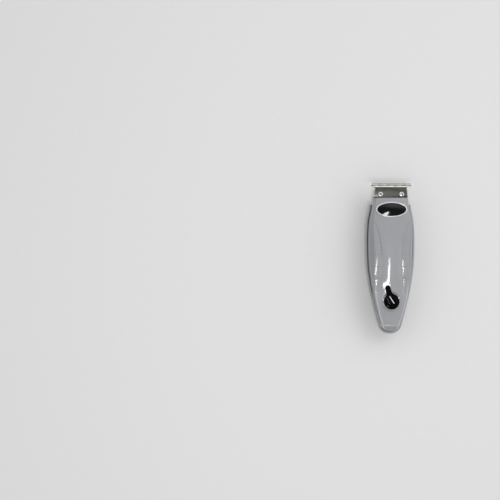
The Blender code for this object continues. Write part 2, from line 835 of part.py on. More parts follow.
def screw_columns(radius, limits):
    """Return four cylinders on the housing screws' places."""
    columns = [rod(radius, limits, SMALL_FACETS, (x, y, 0.0)) for x, y in SCREW_PLACES]
    return merge_shapes(*columns)


def motor_ribs(limits):
    """Return the two plates that hold the motor's damper rings."""
    half = MOTOR_DIAMETER + WALL * 5
    plates = []
    for place in DAMPER_PLACES:
        y_range = (place - RIB_THICKNESS / 2, place + RIB_THICKNESS / 2)
        plates.append(box((-half, half), y_range, limits))
    return merge_shapes(*plates)


def motor_bay():
    """Return the cylinder that the damper rings seat in."""
    reach = DAMPER_LENGTH
    limits = (DAMPER_PLACES[1] - reach, DAMPER_PLACES[0] + reach)
    return rod(DAMPER_OUTER + CLEARANCE, limits, LARGE_FACETS, (0.0, 0.0, DRIVE_Z), "Y")


def head_opening():
    """Return the block that opens the head wall for the nose block's tongue and the cutter."""
    half = TONGUE_HALF + CLEARANCE
    y_range = (HEAD_Y - WALL - OVERRUN, HEAD_Y + OVERRUN)
    return box((-half, half), y_range, (NOSE_BOTTOM - CLEARANCE, NOSE_TOP + 2 * CLEARANCE))


def badge_plan(grow):
    """Return the badge's outline, grown by a margin."""
    centre_y = HEAD_Y - BADGE_FROM_HEAD
    return ellipse(BADGE_LENGTH + 2 * grow, BADGE_WIDTH + 2 * grow, centre_y, LARGE_FACETS)


def make_front_shell():
    """Make the front shell with its ribs, bosses, lever pocket and badge seat."""
    shell = piece("front_shell", hollow_half(FRONT), "shell_grey")
    top = max(height for _, height in CROWN_STATIONS) + OVERRUN
    base = FRONT.edge_z + SHORT
    clip = guide("front_clip", skin(FRONT, WALL / 2))
    ribs = guide("front_ribs", motor_ribs((base, top)))
    bosses = guide("front_bosses", screw_columns(SCREW_BOSS_RADIUS, (base, top)))
    grown = RECESS_GAP + RECESS_WALL
    pocket = guide("lever_pocket", prism(lever_outline(LEAN, -LEAN, grown), POCKET_BOTTOM, top))
    for inner in (ribs, bosses, pocket):
        boolean(inner, clip, "INTERSECT")
    join(shell, ribs, bosses, pocket)

    seat = guide("badge_seat", prism(badge_plan(BEZEL_WIDTH + 2 * CLEARANCE), PARTING_Z, top))
    cut(seat, guide("badge_floor", skin(FRONT, BADGE_SINK + CLEARANCE)))
    recess = guide("lever_recess", prism(lever_outline(LEAN, -LEAN, RECESS_GAP), RECESS_FLOOR_Z, top))
    bore_limits = (POCKET_BOTTOM - OVERRUN, top)
    bore = rod(SPINDLE_DIAMETER / 2 + CLEARANCE, bore_limits, SMALL_FACETS, (0.0, KNOB_Y, 0.0))
    pilot_limits = (FRONT.edge_z - OVERRUN, PARTING_Z + SCREW_GRIP + CLEARANCE)
    pilots = screw_columns(SCREW_SHANK / 2 + CLEARANCE, pilot_limits)
    holes = guide("front_holes", merge_shapes(motor_bay(), head_opening(), bore, pilots))
    cut(shell, seat, recess, holes)


def make_rear_shell():
    """Make the rear shell with its ribs, cell cradles, screw tubes, board posts and jack hole."""
    shell = piece("rear_shell", hollow_half(REAR), "shell_grey")
    top = REAR.edge_z - SHORT
    low = -OVERRUN
    clip = guide("rear_clip", skin(REAR, WALL / 2))
    ribs = guide("rear_ribs", motor_ribs((low, top)))
    tubes = guide("rear_tubes", screw_columns(SCREW_TUBE_RADIUS, (low, top)))
    cradles = []
    for place in (CELL_FRONT_Y - CRADLE_MARGIN, CELL_REAR_Y + CRADLE_MARGIN):
        half = CELL_RADIUS + WALL
        y_range = (place - RIB_THICKNESS / 2, place + RIB_THICKNESS / 2)
        cradles.append(box((-half, half), y_range, (low, CELL_Z)))
    cradle = guide("cell_cradles", merge_shapes(*cradles))
    columns = []
    for x in (-POST_SPACING / 2, POST_SPACING / 2):
        limits = (low, BOARD_BOTTOM - CLEARANCE)
        columns.append(rod(POST_DIAMETER / 2, limits, SMALL_FACETS, (x, POST_Y, 0.0)))
    posts = guide("board_posts", merge_shapes(*columns))
    tall_clip = guide("rear_tall_clip", skin(REAR, WALL / 2, BOARD_BOTTOM - PARTING_Z + OVERRUN))
    for inner in (ribs, tubes, cradle):
        boolean(inner, clip, "INTERSECT")
    boolean(posts, tall_clip, "INTERSECT")
    join(shell, ribs, tubes, cradle, posts)

    cell_limits = (CELL_REAR_Y, CELL_FRONT_Y)
    cell_bay = rod(CELL_RADIUS + CLEARANCE, cell_limits, MEDIUM_FACETS, (0.0, 0.0, CELL_Z), "Y")
    jack_limits = (TAIL_Y - OVERRUN, REAR.end_y(WALL) + OVERRUN)
    jack_radius = JACK_NOSE_DIAMETER / 2 + CLEARANCE
    jack_hole = rod(jack_radius, jack_limits, MEDIUM_FACETS, (0.0, 0.0, JACK_Z), "Y")
    holes = [motor_bay(), head_opening(), cell_bay, jack_hole]
    bore_radius = SCREW_HEAD / 2 + CLEARANCE
    hole_radius = SCREW_SHANK / 2 + CLEARANCE
    for x, y in SCREW_PLACES:
        seat = screw_seat(x, y)
        profile = (
            (0.0, low),
            (bore_radius, low),
            (bore_radius, seat),
            (hole_radius, seat),
            (hole_radius, PARTING_Z + OVERRUN),
            (0.0, PARTING_Z + OVERRUN),
        )
        holes.append(turned(profile, SMALL_FACETS, (x, y, 0.0)))
    for x in (-POST_SPACING / 2, POST_SPACING / 2):
        limits = (BOARD_BOTTOM - SMALL_SCREW_LENGTH - CLEARANCE, BOARD_TOP)
        holes.append(rod(SMALL_SCREW_SHANK / 2 + CLEARANCE, limits, SMALL_FACETS, (x, POST_Y, 0.0)))
    cut(shell, guide("rear_holes", merge_shapes(*holes)))


def screw_seat(x, y):
    """Return the height that a housing screw's head bears on."""
    return REAR.surface_z(x, y) + SCREW_SEAT_DEPTH


def make_badge():
    """Make the oval badge plate and its bezel, both following the crown."""
    base = PARTING_Z + OVERRUN
    top = max(height for _, height in CROWN_STATIONS) + OVERRUN
    under = guide("badge_under", skin(FRONT, BADGE_SINK))
    plate = piece("nameplate", prism(badge_plan(0.0), base, top), "badge_black")
    boolean(plate, guide("badge_face", skin(FRONT, -BADGE_PROUD)), "INTERSECT")
    cut(plate, under)
    bezel = piece("nameplate_bezel", prism(badge_plan(BEZEL_WIDTH + CLEARANCE), base, top), "bright_steel")
    boolean(bezel, guide("bezel_face", skin(FRONT, -BEZEL_PROUD)), "INTERSECT")
    cut(bezel, under)
    cut(bezel, guide("bezel_window", prism(badge_plan(CLEARANCE), base - OVERRUN, top + OVERRUN)))


def make_nose():
    """Make the nose block, the leaf spring on it and the spring's screw."""
    outline = (
        (-TONGUE_HALF, NOSE_REAR_Y),
        (TONGUE_HALF, NOSE_REAR_Y),
        (TONGUE_HALF, NOSE_FACE_Y),
        (NOSE_HALF_REAR, NOSE_FACE_Y),
        (NOSE_HALF_FRONT, NOSE_FRONT_Y),
        (-NOSE_HALF_FRONT, NOSE_FRONT_Y),
        (-NOSE_HALF_REAR, NOSE_FACE_Y),
        (-TONGUE_HALF, NOSE_FACE_Y),
    )
    block = piece("nose_block", prism(outline, NOSE_BOTTOM, NOSE_TOP), "nose_silver")
    channel = box(
        (-CHANNEL_HALF, CHANNEL_HALF),
        (NOSE_REAR_Y - OVERRUN, NOSE_FRONT_Y + OVERRUN),
        (CHANNEL_FLOOR, NOSE_TOP + OVERRUN),
    )
    hole_radius = BLADE_SCREW_SHANK / 2 + CLEARANCE
    hole_limits = (PLATE_TOP - BLADE_SCREW_LENGTH - CLEARANCE, PLATE_TOP + OVERRUN)
    holes = []
    for x in (-BLADE_SCREW_X, BLADE_SCREW_X):
        holes.append(rod(hole_radius, hole_limits, SMALL_FACETS, (x, BLADE_SCREW_Y, 0.0)))
    spring_limits = (NOSE_BOTTOM - OVERRUN, SPRING_TOP + OVERRUN)
    spring_place = (0.0, SPRING_SCREW_Y, 0.0)
    spring_radius = SMALL_SCREW_SHANK / 2 + CLEARANCE
    spring_hole = guide("spring_hole", rod(spring_radius, spring_limits, SMALL_FACETS, spring_place))
    cut(block, guide("stem_channel", channel), guide("nose_screw_holes", merge_shapes(*holes)), spring_hole)

    leaf = box(
        (-SPRING_HALF, SPRING_HALF),
        (SPRING_SCREW_Y - SPRING_ROOT / 2, NOSE_FRONT_Y),
        (SPRING_BOTTOM, SPRING_TOP),
    )
    cut(piece("cutter_spring", leaf, "bright_steel"), spring_hole)
    seat = NOSE_BOTTOM - CLEARANCE
    screw = pan_screw(
        SMALL_SCREW_SHANK,
        SMALL_SCREW_HEAD,
        SMALL_SCREW_HEAD_HEIGHT,
        seat,
        SPRING_TOP - SHORT,
        (0.0, SPRING_SCREW_Y),
        upright=False,
    )
    piece("spring_screw", screw, "bright_steel")


def make_blades():
    """Make the fixed blade with its screws, and the cutter with its yoke and rivets."""
    neck = (
        (-PLATE_HALF_REAR, NOSE_FACE_Y),
        (PLATE_HALF_REAR, NOSE_FACE_Y),
        (PLATE_HALF_FRONT, BAR_REAR_Y + OVERRUN),
        (-PLATE_HALF_FRONT, BAR_REAR_Y + OVERRUN),
    )
    bar = comb_outline(PLATE_FRONT_Y, BAR_REAR_Y, BAR_HALF_FRONT, BAR_HALF_REAR, TOOTH_COUNT)
    fixed = piece("fixed_blade", prism(bar, PLATE_Z, PLATE_TOP + BAR_RISE), "blade_steel")
    join(fixed, guide("blade_neck", prism(neck, PLATE_Z, PLATE_TOP)))
    slope_y = PLATE_FRONT_Y - TOOTH_LENGTH
    slope = guide("tooth_slope", tooth_slope(slope_y))
    holes = []
    for side, x in (("left", -BLADE_SCREW_X), ("right", BLADE_SCREW_X)):
        limits = (PLATE_Z - OVERRUN, PLATE_TOP + OVERRUN)
        radius = BLADE_SCREW_SHANK / 2 + CLEARANCE
        holes.append(rod(radius, limits, SMALL_FACETS, (x, BLADE_SCREW_Y, 0.0)))
        screw = pan_screw(
            BLADE_SCREW_SHANK,
            BLADE_SCREW_HEAD,
            BLADE_SCREW_HEAD_HEIGHT,
            PLATE_TOP + CLEARANCE,
            PLATE_TOP - BLADE_SCREW_LENGTH,
            (x, BLADE_SCREW_Y),
        )
        piece(f"blade_screw_{side}", screw, "bright_steel")
    cut(fixed, slope, guide("blade_screw_holes", merge_shapes(*holes)))

    comb = comb_outline(
        CUTTER_FRONT_Y,
        CUTTER_HEAD_Y,
        CUTTER_HALF_FRONT,
        CUTTER_HALF_REAR,
        CUTTER_TOOTH_COUNT,
    )
    cutter = piece("moving_blade", prism(comb, CUTTER_BOTTOM, CUTTER_TOP), "blade_steel")
    stem = box(
        (-STEM_HALF, STEM_HALF),
        (YOKE_REAR_Y, CUTTER_HEAD_Y + OVERRUN),
        (CUTTER_BOTTOM, CUTTER_TOP),
    )
    join(cutter, guide("cutter_stem", stem))
    half = SLOT_HALF + YOKE_WALL
    low = DRIVE_Z - ROLLER_DIAMETER / 2 - YOKE_REACH_BELOW
    yoke_shape = box((-half, half), (YOKE_REAR_Y, YOKE_FRONT_Y), (low, YOKE_TOP))
    yoke = piece("cutter_yoke", yoke_shape, "nylon_white")
    slot = box(
        (-SLOT_HALF, SLOT_HALF),
        (YOKE_REAR_Y - OVERRUN, YOKE_FRONT_Y + OVERRUN),
        (low - OVERRUN, SLOT_TOP),
    )
    cut(yoke, guide("yoke_slot", slot))
    rivet_holes = []
    rivet_foot = SLOT_TOP + OVERRUN
    for side, x in (("left", -RIVET_SPACING / 2), ("right", RIVET_SPACING / 2)):
        limits = (rivet_foot - CLEARANCE, CUTTER_TOP + OVERRUN)
        rivet_holes.append(rod(RIVET_SHANK / 2 + CLEARANCE, limits, SMALL_FACETS, (x, YOKE_Y, 0.0)))
        rivet = pan_screw(
            RIVET_SHANK,
            RIVET_HEAD,
            RIVET_HEAD_HEIGHT,
            CUTTER_TOP + CLEARANCE,
            rivet_foot,
            (x, YOKE_Y),
        )
        piece(f"yoke_rivet_{side}", rivet, "bright_steel")
    rivet_cut = guide("rivet_holes", merge_shapes(*rivet_holes))
    cut(yoke, rivet_cut)
    cut(cutter, rivet_cut)


def tooth_slope(root_y):
    """Return the wedge that thins the teeth of the fixed blade towards their tips."""
    top = PLATE_TOP + BAR_RISE
    tip = PLATE_Z + (PLATE_THICKNESS + BAR_RISE) / 2 - BAR_BEVEL / 2
    half = BAR_HALF_FRONT + OVERRUN
    reach = PLATE_FRONT_Y - root_y
    fall = (top - tip) / reach
    front = PLATE_FRONT_Y + OVERRUN
    section = (
        (root_y, top),
        (front, top - fall * (front - root_y)),
        (front, top + OVERRUN),
        (root_y, top + OVERRUN),
    )
    shape = bmesh.new()
    face = shape.faces.new([shape.verts.new((-half, y, z)) for y, z in section])
    raised = bmesh.ops.extrude_face_region(shape, geom=[face])["geom"]
    lifted = [item for item in raised if isinstance(item, bmesh.types.BMVert)]
    bmesh.ops.translate(shape, verts=lifted, vec=(2 * half, 0.0, 0.0))
    return shape


def make_motor():
    """Make the motor's still parts and its two damper rings."""
    axis = (0.0, 0.0, DRIVE_Z)
    bush_radius = BUSH_DIAMETER / 2
    can_profile = (
        (bush_radius + CLEARANCE, CAN_FRONT_Y),
        (CAN_RADIUS, CAN_FRONT_Y),
        (CAN_RADIUS, CAN_REAR_Y),
        (CAN_BORE, CAN_REAR_Y),
        (CAN_BORE, CAN_FRONT_Y - CAN_WALL),
        (bush_radius + CLEARANCE, CAN_FRONT_Y - CAN_WALL),
    )
    piece("motor_can", turned(can_profile, LARGE_FACETS, axis, "Y", hollow=True), "motor_steel")
    shaft_hole = SHAFT_DIAMETER / 2 + CLEARANCE
    bush_limits = (CAN_FRONT_Y - BUSH_SEAT, BUSH_FRONT_Y)
    piece("motor_front_bush", ring(shaft_hole, bush_radius, bush_limits, MEDIUM_FACETS, axis, "Y"), "brass")
    spigot = CAN_BORE - CLEARANCE
    cap_profile = (
        (shaft_hole, CAP_REAR_Y),
        (CAN_RADIUS, CAP_REAR_Y),
        (CAN_RADIUS, CAP_FRONT_Y),
        (spigot, CAP_FRONT_Y),
        (spigot, CAP_FRONT_Y + MOTOR_CAP_SPIGOT),
        (shaft_hole, CAP_FRONT_Y + MOTOR_CAP_SPIGOT),
    )
    piece("motor_end_cap", turned(cap_profile, LARGE_FACETS, axis, "Y", hollow=True), "nylon_white")
    span = math.radians(MAGNET_SPAN) / 2
    for side, middle in (("left", math.pi), ("right", 0.0)):
        outer = arc((0.0, 0.0), MAGNET_OUTER, middle - span, middle + span, MEDIUM_FACETS // 2)
        inner = arc((0.0, 0.0), MAGNET_INNER, middle + span, middle - span, MEDIUM_FACETS // 2)
        shape = prism(outer + inner, CAN_REAR_Y + MAGNET_MARGIN, CAN_FRONT_Y - MAGNET_MARGIN)
        turn = Matrix.Rotation(-math.pi / 2, 3, "X")
        bmesh.ops.rotate(shape, verts=shape.verts, cent=(0.0, 0.0, 0.0), matrix=turn)
        bmesh.ops.translate(shape, verts=shape.verts, vec=axis)
        piece(f"motor_magnet_{side}", shape, "magnet_grey")
    for side, x in (("left", -TERMINAL_SPACING / 2), ("right", TERMINAL_SPACING / 2)):
        tag = box(
            (x - TERMINAL_WIDTH / 2, x + TERMINAL_WIDTH / 2),
            (TERMINAL_REAR_Y, TERMINAL_FRONT_Y),
            (DRIVE_Z - TERMINAL_HEIGHT / 2, DRIVE_Z + TERMINAL_HEIGHT / 2),
        )
        piece(f"motor_terminal_{side}", tag, "brass")
    for end, place in zip(("front", "rear"), DAMPER_PLACES):
        limits = (place - DAMPER_LENGTH / 2, place + DAMPER_LENGTH / 2)
        band = ring(DAMPER_INNER, DAMPER_OUTER, limits, LARGE_FACETS, axis, "Y")
        piece(f"motor_damper_{end}", band, "rubber_black")


def make_rotor():
    """Make the spinning parts: shaft, armature, commutator, eccentric and roller."""
    axis = (0.0, 0.0, DRIVE_Z)
    shaft_radius = SHAFT_DIAMETER / 2
    shaft_hole = shaft_radius + CLEARANCE
    shaft_limits = (CAP_REAR_Y - CLEARANCE, ECCENTRIC_FRONT_Y - OVERRUN)
    piece("motor_shaft", rod(shaft_radius, shaft_limits, SMALL_FACETS, axis, "Y"), "bright_steel", axis)
    commutator_rear = CAP_FRONT_Y + MOTOR_CAP_SPIGOT + CLEARANCE
    commutator_front = commutator_rear + COMMUTATOR_LENGTH
    sleeve = ring(
        shaft_hole,
        COMMUTATOR_DIAMETER / 2,
        (commutator_rear, commutator_front),
        MEDIUM_FACETS,
        axis,
        "Y",
    )
    piece("motor_commutator", sleeve, "copper", axis)
    core_limits = (commutator_front + CLEARANCE, CAN_FRONT_Y - MAGNET_MARGIN)
    core = ring(shaft_hole, ARMATURE_RADIUS, core_limits, MEDIUM_FACETS, axis, "Y")
    piece("motor_armature", core, "copper", axis)

    disc_limits = (ECCENTRIC_REAR_Y, ECCENTRIC_FRONT_Y)
    disc = rod(ECCENTRIC_DIAMETER / 2, disc_limits, MEDIUM_FACETS, axis, "Y")
    eccentric = piece("eccentric", disc, "brass", axis)
    pin_axis = (0.0, 0.0, DRIVE_Z + THROW)
    pin_limits = (ECCENTRIC_FRONT_Y - OVERRUN, YOKE_FRONT_Y + CLEARANCE)
    pin = guide("crank_pin", rod(CRANK_PIN_DIAMETER / 2, pin_limits, SMALL_FACETS, pin_axis, "Y"))
    hole_limits = (ECCENTRIC_REAR_Y - OVERRUN, ECCENTRIC_FRONT_Y - OVERRUN + CLEARANCE)
    hole = guide("eccentric_bore", rod(shaft_hole, hole_limits, SMALL_FACETS, axis, "Y"))
    cut(eccentric, hole)
    join(eccentric, pin)
    roller_limits = (YOKE_REAR_Y, YOKE_FRONT_Y)
    roller_bore = CRANK_PIN_DIAMETER / 2 + CLEARANCE
    roller = ring(roller_bore, ROLLER_DIAMETER / 2, roller_limits, MEDIUM_FACETS, pin_axis, "Y")
    piece("eccentric_roller", roller, "bright_steel", axis)


def make_power():
    """Make the cell, its tabs, the circuit board, its screws, the charging jack and the motor leads."""
    axis = (0.0, 0.0, CELL_Z)
    nub = CELL_NUB_DIAMETER / 2
    cell_profile = (
        (0.0, CELL_REAR_Y),
        (CELL_RADIUS - CELL_EDGE, CELL_REAR_Y),
        (CELL_RADIUS, CELL_REAR_Y + CELL_EDGE),
        (CELL_RADIUS, CELL_FRONT_Y - CELL_NUB_LENGTH - CELL_EDGE),
        (CELL_RADIUS - CELL_EDGE, CELL_FRONT_Y - CELL_NUB_LENGTH),
        (nub, CELL_FRONT_Y - CELL_NUB_LENGTH),
        (nub, CELL_FRONT_Y),
        (0.0, CELL_FRONT_Y),
    )
    piece("battery_cell", turned(cell_profile, MEDIUM_FACETS, axis, "Y"), "cell_green")
    tab_top = CELL_Z + TAB_RISE
    tab_low = CELL_Z - CELL_NUB_DIAMETER / 2
    front_tab = CELL_FRONT_Y + CLEARANCE
    for pole, y in (("positive", front_tab), ("negative", TAB_REAR_Y)):
        strip = box((-TAB_WIDTH / 2, TAB_WIDTH / 2), (y, y + TAB_THICKNESS), (tab_low, tab_top))
        piece(f"battery_tab_{pole}", strip, "bright_steel")

    board_shape = box((-BOARD_HALF, BOARD_HALF), (BOARD_REAR_Y, BOARD_FRONT_Y), (BOARD_BOTTOM, BOARD_TOP))
    board = piece("circuit_board", board_shape, "board_green")
    holes = []
    for side, x in (("left", -POST_SPACING / 2), ("right", POST_SPACING / 2)):
        limits = (BOARD_BOTTOM - OVERRUN, BOARD_TOP + OVERRUN)
        holes.append(rod(SMALL_SCREW_SHANK / 2 + CLEARANCE, limits, SMALL_FACETS, (x, POST_Y, 0.0)))
        screw = pan_screw(
            SMALL_SCREW_SHANK,
            SMALL_SCREW_HEAD,
            SMALL_SCREW_HEAD_HEIGHT,
            BOARD_TOP + CLEARANCE,
            BOARD_BOTTOM - SMALL_SCREW_LENGTH,
            (x, POST_Y),
        )
        piece(f"board_screw_{side}", screw, "bright_steel")
    cut(board, guide("board_holes", merge_shapes(*holes)))

    jack_axis = (0.0, 0.0, JACK_Z)
    body = box(
        (-JACK_HALF_WIDTH, JACK_HALF_WIDTH),
        (JACK_REAR_Y, JACK_FRONT_Y),
        (JACK_Z - JACK_HEIGHT / 2, JACK_Z + JACK_HEIGHT / 2),
    )
    jack = piece("charge_jack", body, "lever_black")
    nose_limits = (JACK_TIP_Y, JACK_REAR_Y + OVERRUN)
    nose = guide("jack_nose", rod(JACK_NOSE_DIAMETER / 2, nose_limits, MEDIUM_FACETS, jack_axis, "Y"))
    bore_limits = (JACK_TIP_Y - OVERRUN, JACK_TIP_Y + JACK_BORE_DEPTH)
    bore = guide("jack_bore", rod(JACK_BORE_DIAMETER / 2, bore_limits, SMALL_FACETS, jack_axis, "Y"))
    join(jack, nose)
    cut(jack, bore)
    pin_limits = (JACK_TIP_Y + OVERRUN, JACK_TIP_Y + JACK_BORE_DEPTH - CLEARANCE)
    pin = rod(JACK_PIN_DIAMETER / 2, pin_limits, SMALL_FACETS, jack_axis, "Y")
    piece("charge_jack_pin", pin, "bright_steel")
    for colour, side in (("red", -1), ("black", 1)):
        make_lead(f"motor_lead_{colour}", side, f"lead_{colour}")


def make_lead(name, side, finish):
    """Make one motor lead from a motor terminal, over the cell's shoulder, to the board's front edge."""
    radius = LEAD_DIAMETER / 2
    start = Vector((side * TERMINAL_SPACING / 2, TERMINAL_REAR_Y - CLEARANCE, DRIVE_Z))
    end_z = BOARD_TOP + radius + CLEARANCE
    end = Vector((side * BOARD_HALF / 2, BOARD_FRONT_Y - BOARD_MARGIN, end_z))
    shoulder = Vector((side * CELL_RADIUS, CELL_FRONT_Y + LEAD_RISE, end_z))
    over = Vector((side * (CELL_RADIUS + LEAD_DIAMETER), CELL_FRONT_Y - LEAD_RUN, end_z))
    route = (start, shoulder, over, end)
    leave = Vector((0.0, -CELL_GAP / 2, 0.0))
    arrive = Vector((0.0, -LEAD_PULL, 0.0))
    tangents = [leave]
    for before, after in zip(route, route[2:]):
        tangents.append((after - before) / 2)
    tangents.append(arrive)
    spans = len(route) - 1
    curve = bpy.data.curves.new(name, "CURVE")
    curve.dimensions = "3D"
    curve.bevel_depth = radius * MM
    curve.bevel_resolution = 2
    curve.use_fill_caps = True
    spline = curve.splines.new("POLY")
    spline.points.add(LEAD_POINTS - 1)
    for index in range(LEAD_POINTS):
        place = spans * index / (LEAD_POINTS - 1)
        span = min(int(place), spans - 1)
        t = place - span
        rise = t * t * (3 - 2 * t)
        point = route[span].lerp(route[span + 1], rise)
        point = point + tangents[span] * (t * (1 - t) ** 2) - tangents[span + 1] * (t * t * (1 - t))
        spline.points[index].co = (*(point * MM), 1.0)
    item = bpy.data.objects.new(name, curve)
    curve.materials.append(finish_material(finish))
    bpy.context.scene.collection.objects.link(item)


def make_switch():
    """Make the lever knob, its spindle with the crank, the slider and the switch base."""
    pivot = (0.0, KNOB_Y, KNOB_BOTTOM)
    knob_top = KNOB_BOTTOM + KNOB_HEIGHT
    disc_profile = (
        (0.0, KNOB_BOTTOM),
        (KNOB_RADIUS, KNOB_BOTTOM),
        (KNOB_RADIUS, knob_top - KNOB_EDGE),
        (KNOB_RADIUS - KNOB_EDGE, knob_top),
        (0.0, knob_top),
    )
    disc = turned(disc_profile, LARGE_FACETS, (0.0, KNOB_Y, 0.0))
    knob = piece("switch_knob", disc, "lever_black", pivot)
    arm_plan = lever_outline(0.0, 0.0, -KNOB_EDGE / 2)
    arm_shape = prism(arm_plan, KNOB_BOTTOM + KNOB_EDGE / 2, KNOB_BOTTOM + LEVER_HEIGHT)
    arm = guide("lever_arm", arm_shape)
    grip_top = KNOB_BOTTOM + SPINDLE_GRIP
    socket_limits = (KNOB_BOTTOM - OVERRUN, grip_top + CLEARANCE)
    socket_radius = SPINDLE_DIAMETER / 2 + CLEARANCE
    socket = guide("knob_socket", rod(socket_radius, socket_limits, SMALL_FACETS, (0.0, KNOB_Y, 0.0)))
    turn_with_lever(arm)
    knob.rotation_euler.z = LEAN
    join(knob, arm)
    cut(knob, socket)

    stem = rod(SPINDLE_DIAMETER / 2, (CRANK_BOTTOM, grip_top), SMALL_FACETS, (0.0, KNOB_Y, 0.0))
    spindle = piece("switch_spindle", stem, "nylon_white", pivot)
    spindle.rotation_euler.z = LEAN
    half = CRANK_KEY_DIAMETER
    crank_shape = box(
        (-half, half),
        (KNOB_Y, KNOB_Y + CRANK_RADIUS + half),
        (CRANK_BOTTOM + SHORT, CRANK_TOP),
    )
    crank = guide("crank_arm", crank_shape)
    key_limits = (CRANK_BOTTOM - CRANK_KEY_LENGTH, CRANK_TOP - SHORT)
    key_place = (0.0, KNOB_Y + CRANK_RADIUS, 0.0)
    key = guide("crank_key", rod(CRANK_KEY_DIAMETER / 2, key_limits, SMALL_FACETS, key_place))
    turn_with_lever(crank)
    turn_with_lever(key)
    join(spindle, crank, key)

    slot_half = CRANK_KEY_DIAMETER / 2 + CLEARANCE
    slot_reach = slot_half + CLEARANCE
    origin = (SLIDER_X, CRANK_KEY_Y, SLIDER_BOTTOM)
    body = box(
        (SLIDER_X - slot_half - SLIDER_WALL, SLIDER_X + slot_half + SLIDER_WALL),
        (CRANK_KEY_Y - slot_reach - SLIDER_WALL, CRANK_KEY_Y + slot_reach + SLIDER_WALL),
        (SLIDER_BOTTOM, SLIDER_TOP),
    )
    slider = piece("switch_slider", body, "nylon_white", origin)
    slot = box(
        (SLIDER_X - slot_half, SLIDER_X + slot_half),
        (CRANK_KEY_Y - slot_reach, CRANK_KEY_Y + slot_reach),
        (SLIDER_BOTTOM - OVERRUN, SLIDER_TOP + OVERRUN),
    )
    cut(slider, guide("slider_slot", slot))
    base = box(
        (-SWITCH_BASE_HALF, SWITCH_BASE_HALF),
        (CRANK_KEY_Y - SWITCH_BASE_LENGTH / 2, CRANK_KEY_Y + SWITCH_BASE_LENGTH / 2),
        (SWITCH_BASE_BOTTOM, SWITCH_BASE_TOP),
    )
    piece("switch_base", base, "motor_steel")


def turn_with_lever(item):
    """Lean a guide that was made upright with the lever, about the knob's axis."""
    centre = Vector((0.0, KNOB_Y * MM, 0.0))
    turn = Matrix.Translation(centre) @ Matrix.Rotation(LEAN, 4, "Z") @ Matrix.Translation(-centre)
    item.data.transform(turn)


def make_housing_screws():
    """Make the four screws that hold the shells together from the back."""
    for number, (x, y) in enumerate(SCREW_PLACES, start=1):
        seat = screw_seat(x, y) - CLEARANCE
        screw = pan_screw(
            SCREW_SHANK,
            SCREW_HEAD,
            SCREW_HEAD_HEIGHT,
            seat,
            PARTING_Z + SCREW_GRIP,
            (x, y),
            upright=False,
        )
        piece(f"housing_screw_{number}", screw, "motor_steel")


def main():
    """Make the whole trimmer."""
    clear_scene()
    make_front_shell()
    make_rear_shell()
    make_badge()
    make_nose()
    make_blades()
    make_motor()
    make_rotor()
    make_power()
    make_switch()
    make_housing_screws()


main()
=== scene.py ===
"""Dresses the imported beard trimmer: fine shells, blades, badge and lever, then finishes, light and camera.

Lengths in the classes are in millimetres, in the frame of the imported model: +X right, +Y towards the blade
and +Z out of the front face. They become metres when a mesh is made.
"""

import logging
import math
from dataclasses import dataclass
from enum import Enum
from typing import Any, Callable, Iterable, Sequence

import bmesh
import bpy
from mathutils import Matrix, Vector

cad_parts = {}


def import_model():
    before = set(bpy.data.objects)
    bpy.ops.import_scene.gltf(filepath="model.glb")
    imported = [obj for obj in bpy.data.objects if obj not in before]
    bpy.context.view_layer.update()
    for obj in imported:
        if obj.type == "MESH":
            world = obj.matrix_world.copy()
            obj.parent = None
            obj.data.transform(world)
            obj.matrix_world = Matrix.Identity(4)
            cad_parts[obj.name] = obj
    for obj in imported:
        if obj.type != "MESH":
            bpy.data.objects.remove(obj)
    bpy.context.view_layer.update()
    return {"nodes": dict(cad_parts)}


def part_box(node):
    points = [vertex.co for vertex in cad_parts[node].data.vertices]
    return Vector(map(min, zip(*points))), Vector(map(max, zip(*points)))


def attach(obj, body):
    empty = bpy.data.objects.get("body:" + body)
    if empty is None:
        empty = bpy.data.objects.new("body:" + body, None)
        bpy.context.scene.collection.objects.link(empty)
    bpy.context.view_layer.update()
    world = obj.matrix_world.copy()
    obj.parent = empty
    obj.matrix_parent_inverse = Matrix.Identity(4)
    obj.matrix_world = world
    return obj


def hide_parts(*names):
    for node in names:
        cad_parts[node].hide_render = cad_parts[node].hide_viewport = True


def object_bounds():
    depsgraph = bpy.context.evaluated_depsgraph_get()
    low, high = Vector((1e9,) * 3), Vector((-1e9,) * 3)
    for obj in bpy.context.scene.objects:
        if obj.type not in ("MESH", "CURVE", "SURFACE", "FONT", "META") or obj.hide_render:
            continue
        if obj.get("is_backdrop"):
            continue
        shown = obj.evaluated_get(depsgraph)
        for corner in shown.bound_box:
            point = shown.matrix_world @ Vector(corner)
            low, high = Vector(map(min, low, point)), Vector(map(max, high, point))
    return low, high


MM = 0.001
HOLE_FACETS = 32
WELL_FACETS = 40
SMALL_FACETS = 24
COLLAR_FACETS = 48
SOFT_CREASE = 50.0
RING_CREASE = 60.0
LOG = logging.getLogger("trimmer")

Point = tuple[float, float, float]
Plan = tuple[float, float]
Ring = list[int]


def ramp(value: float, start: float, end: float) -> float:
    """Return a soft step from 0 at start to 1 at end.

    Args:
        value: The place to read the step at.
        start: Where the step begins.
        end: Where the step is complete.

    Returns:
        A share between 0 and 1.
    """
    share = min(max((value - start) / (end - start), 0.0), 1.0)
    return share * share * (3.0 - 2.0 * share)


class Axis(Enum):
    """The axis that a turned piece is turned about."""

    ALONG_Y = "Y"
    UPRIGHT = "Z"


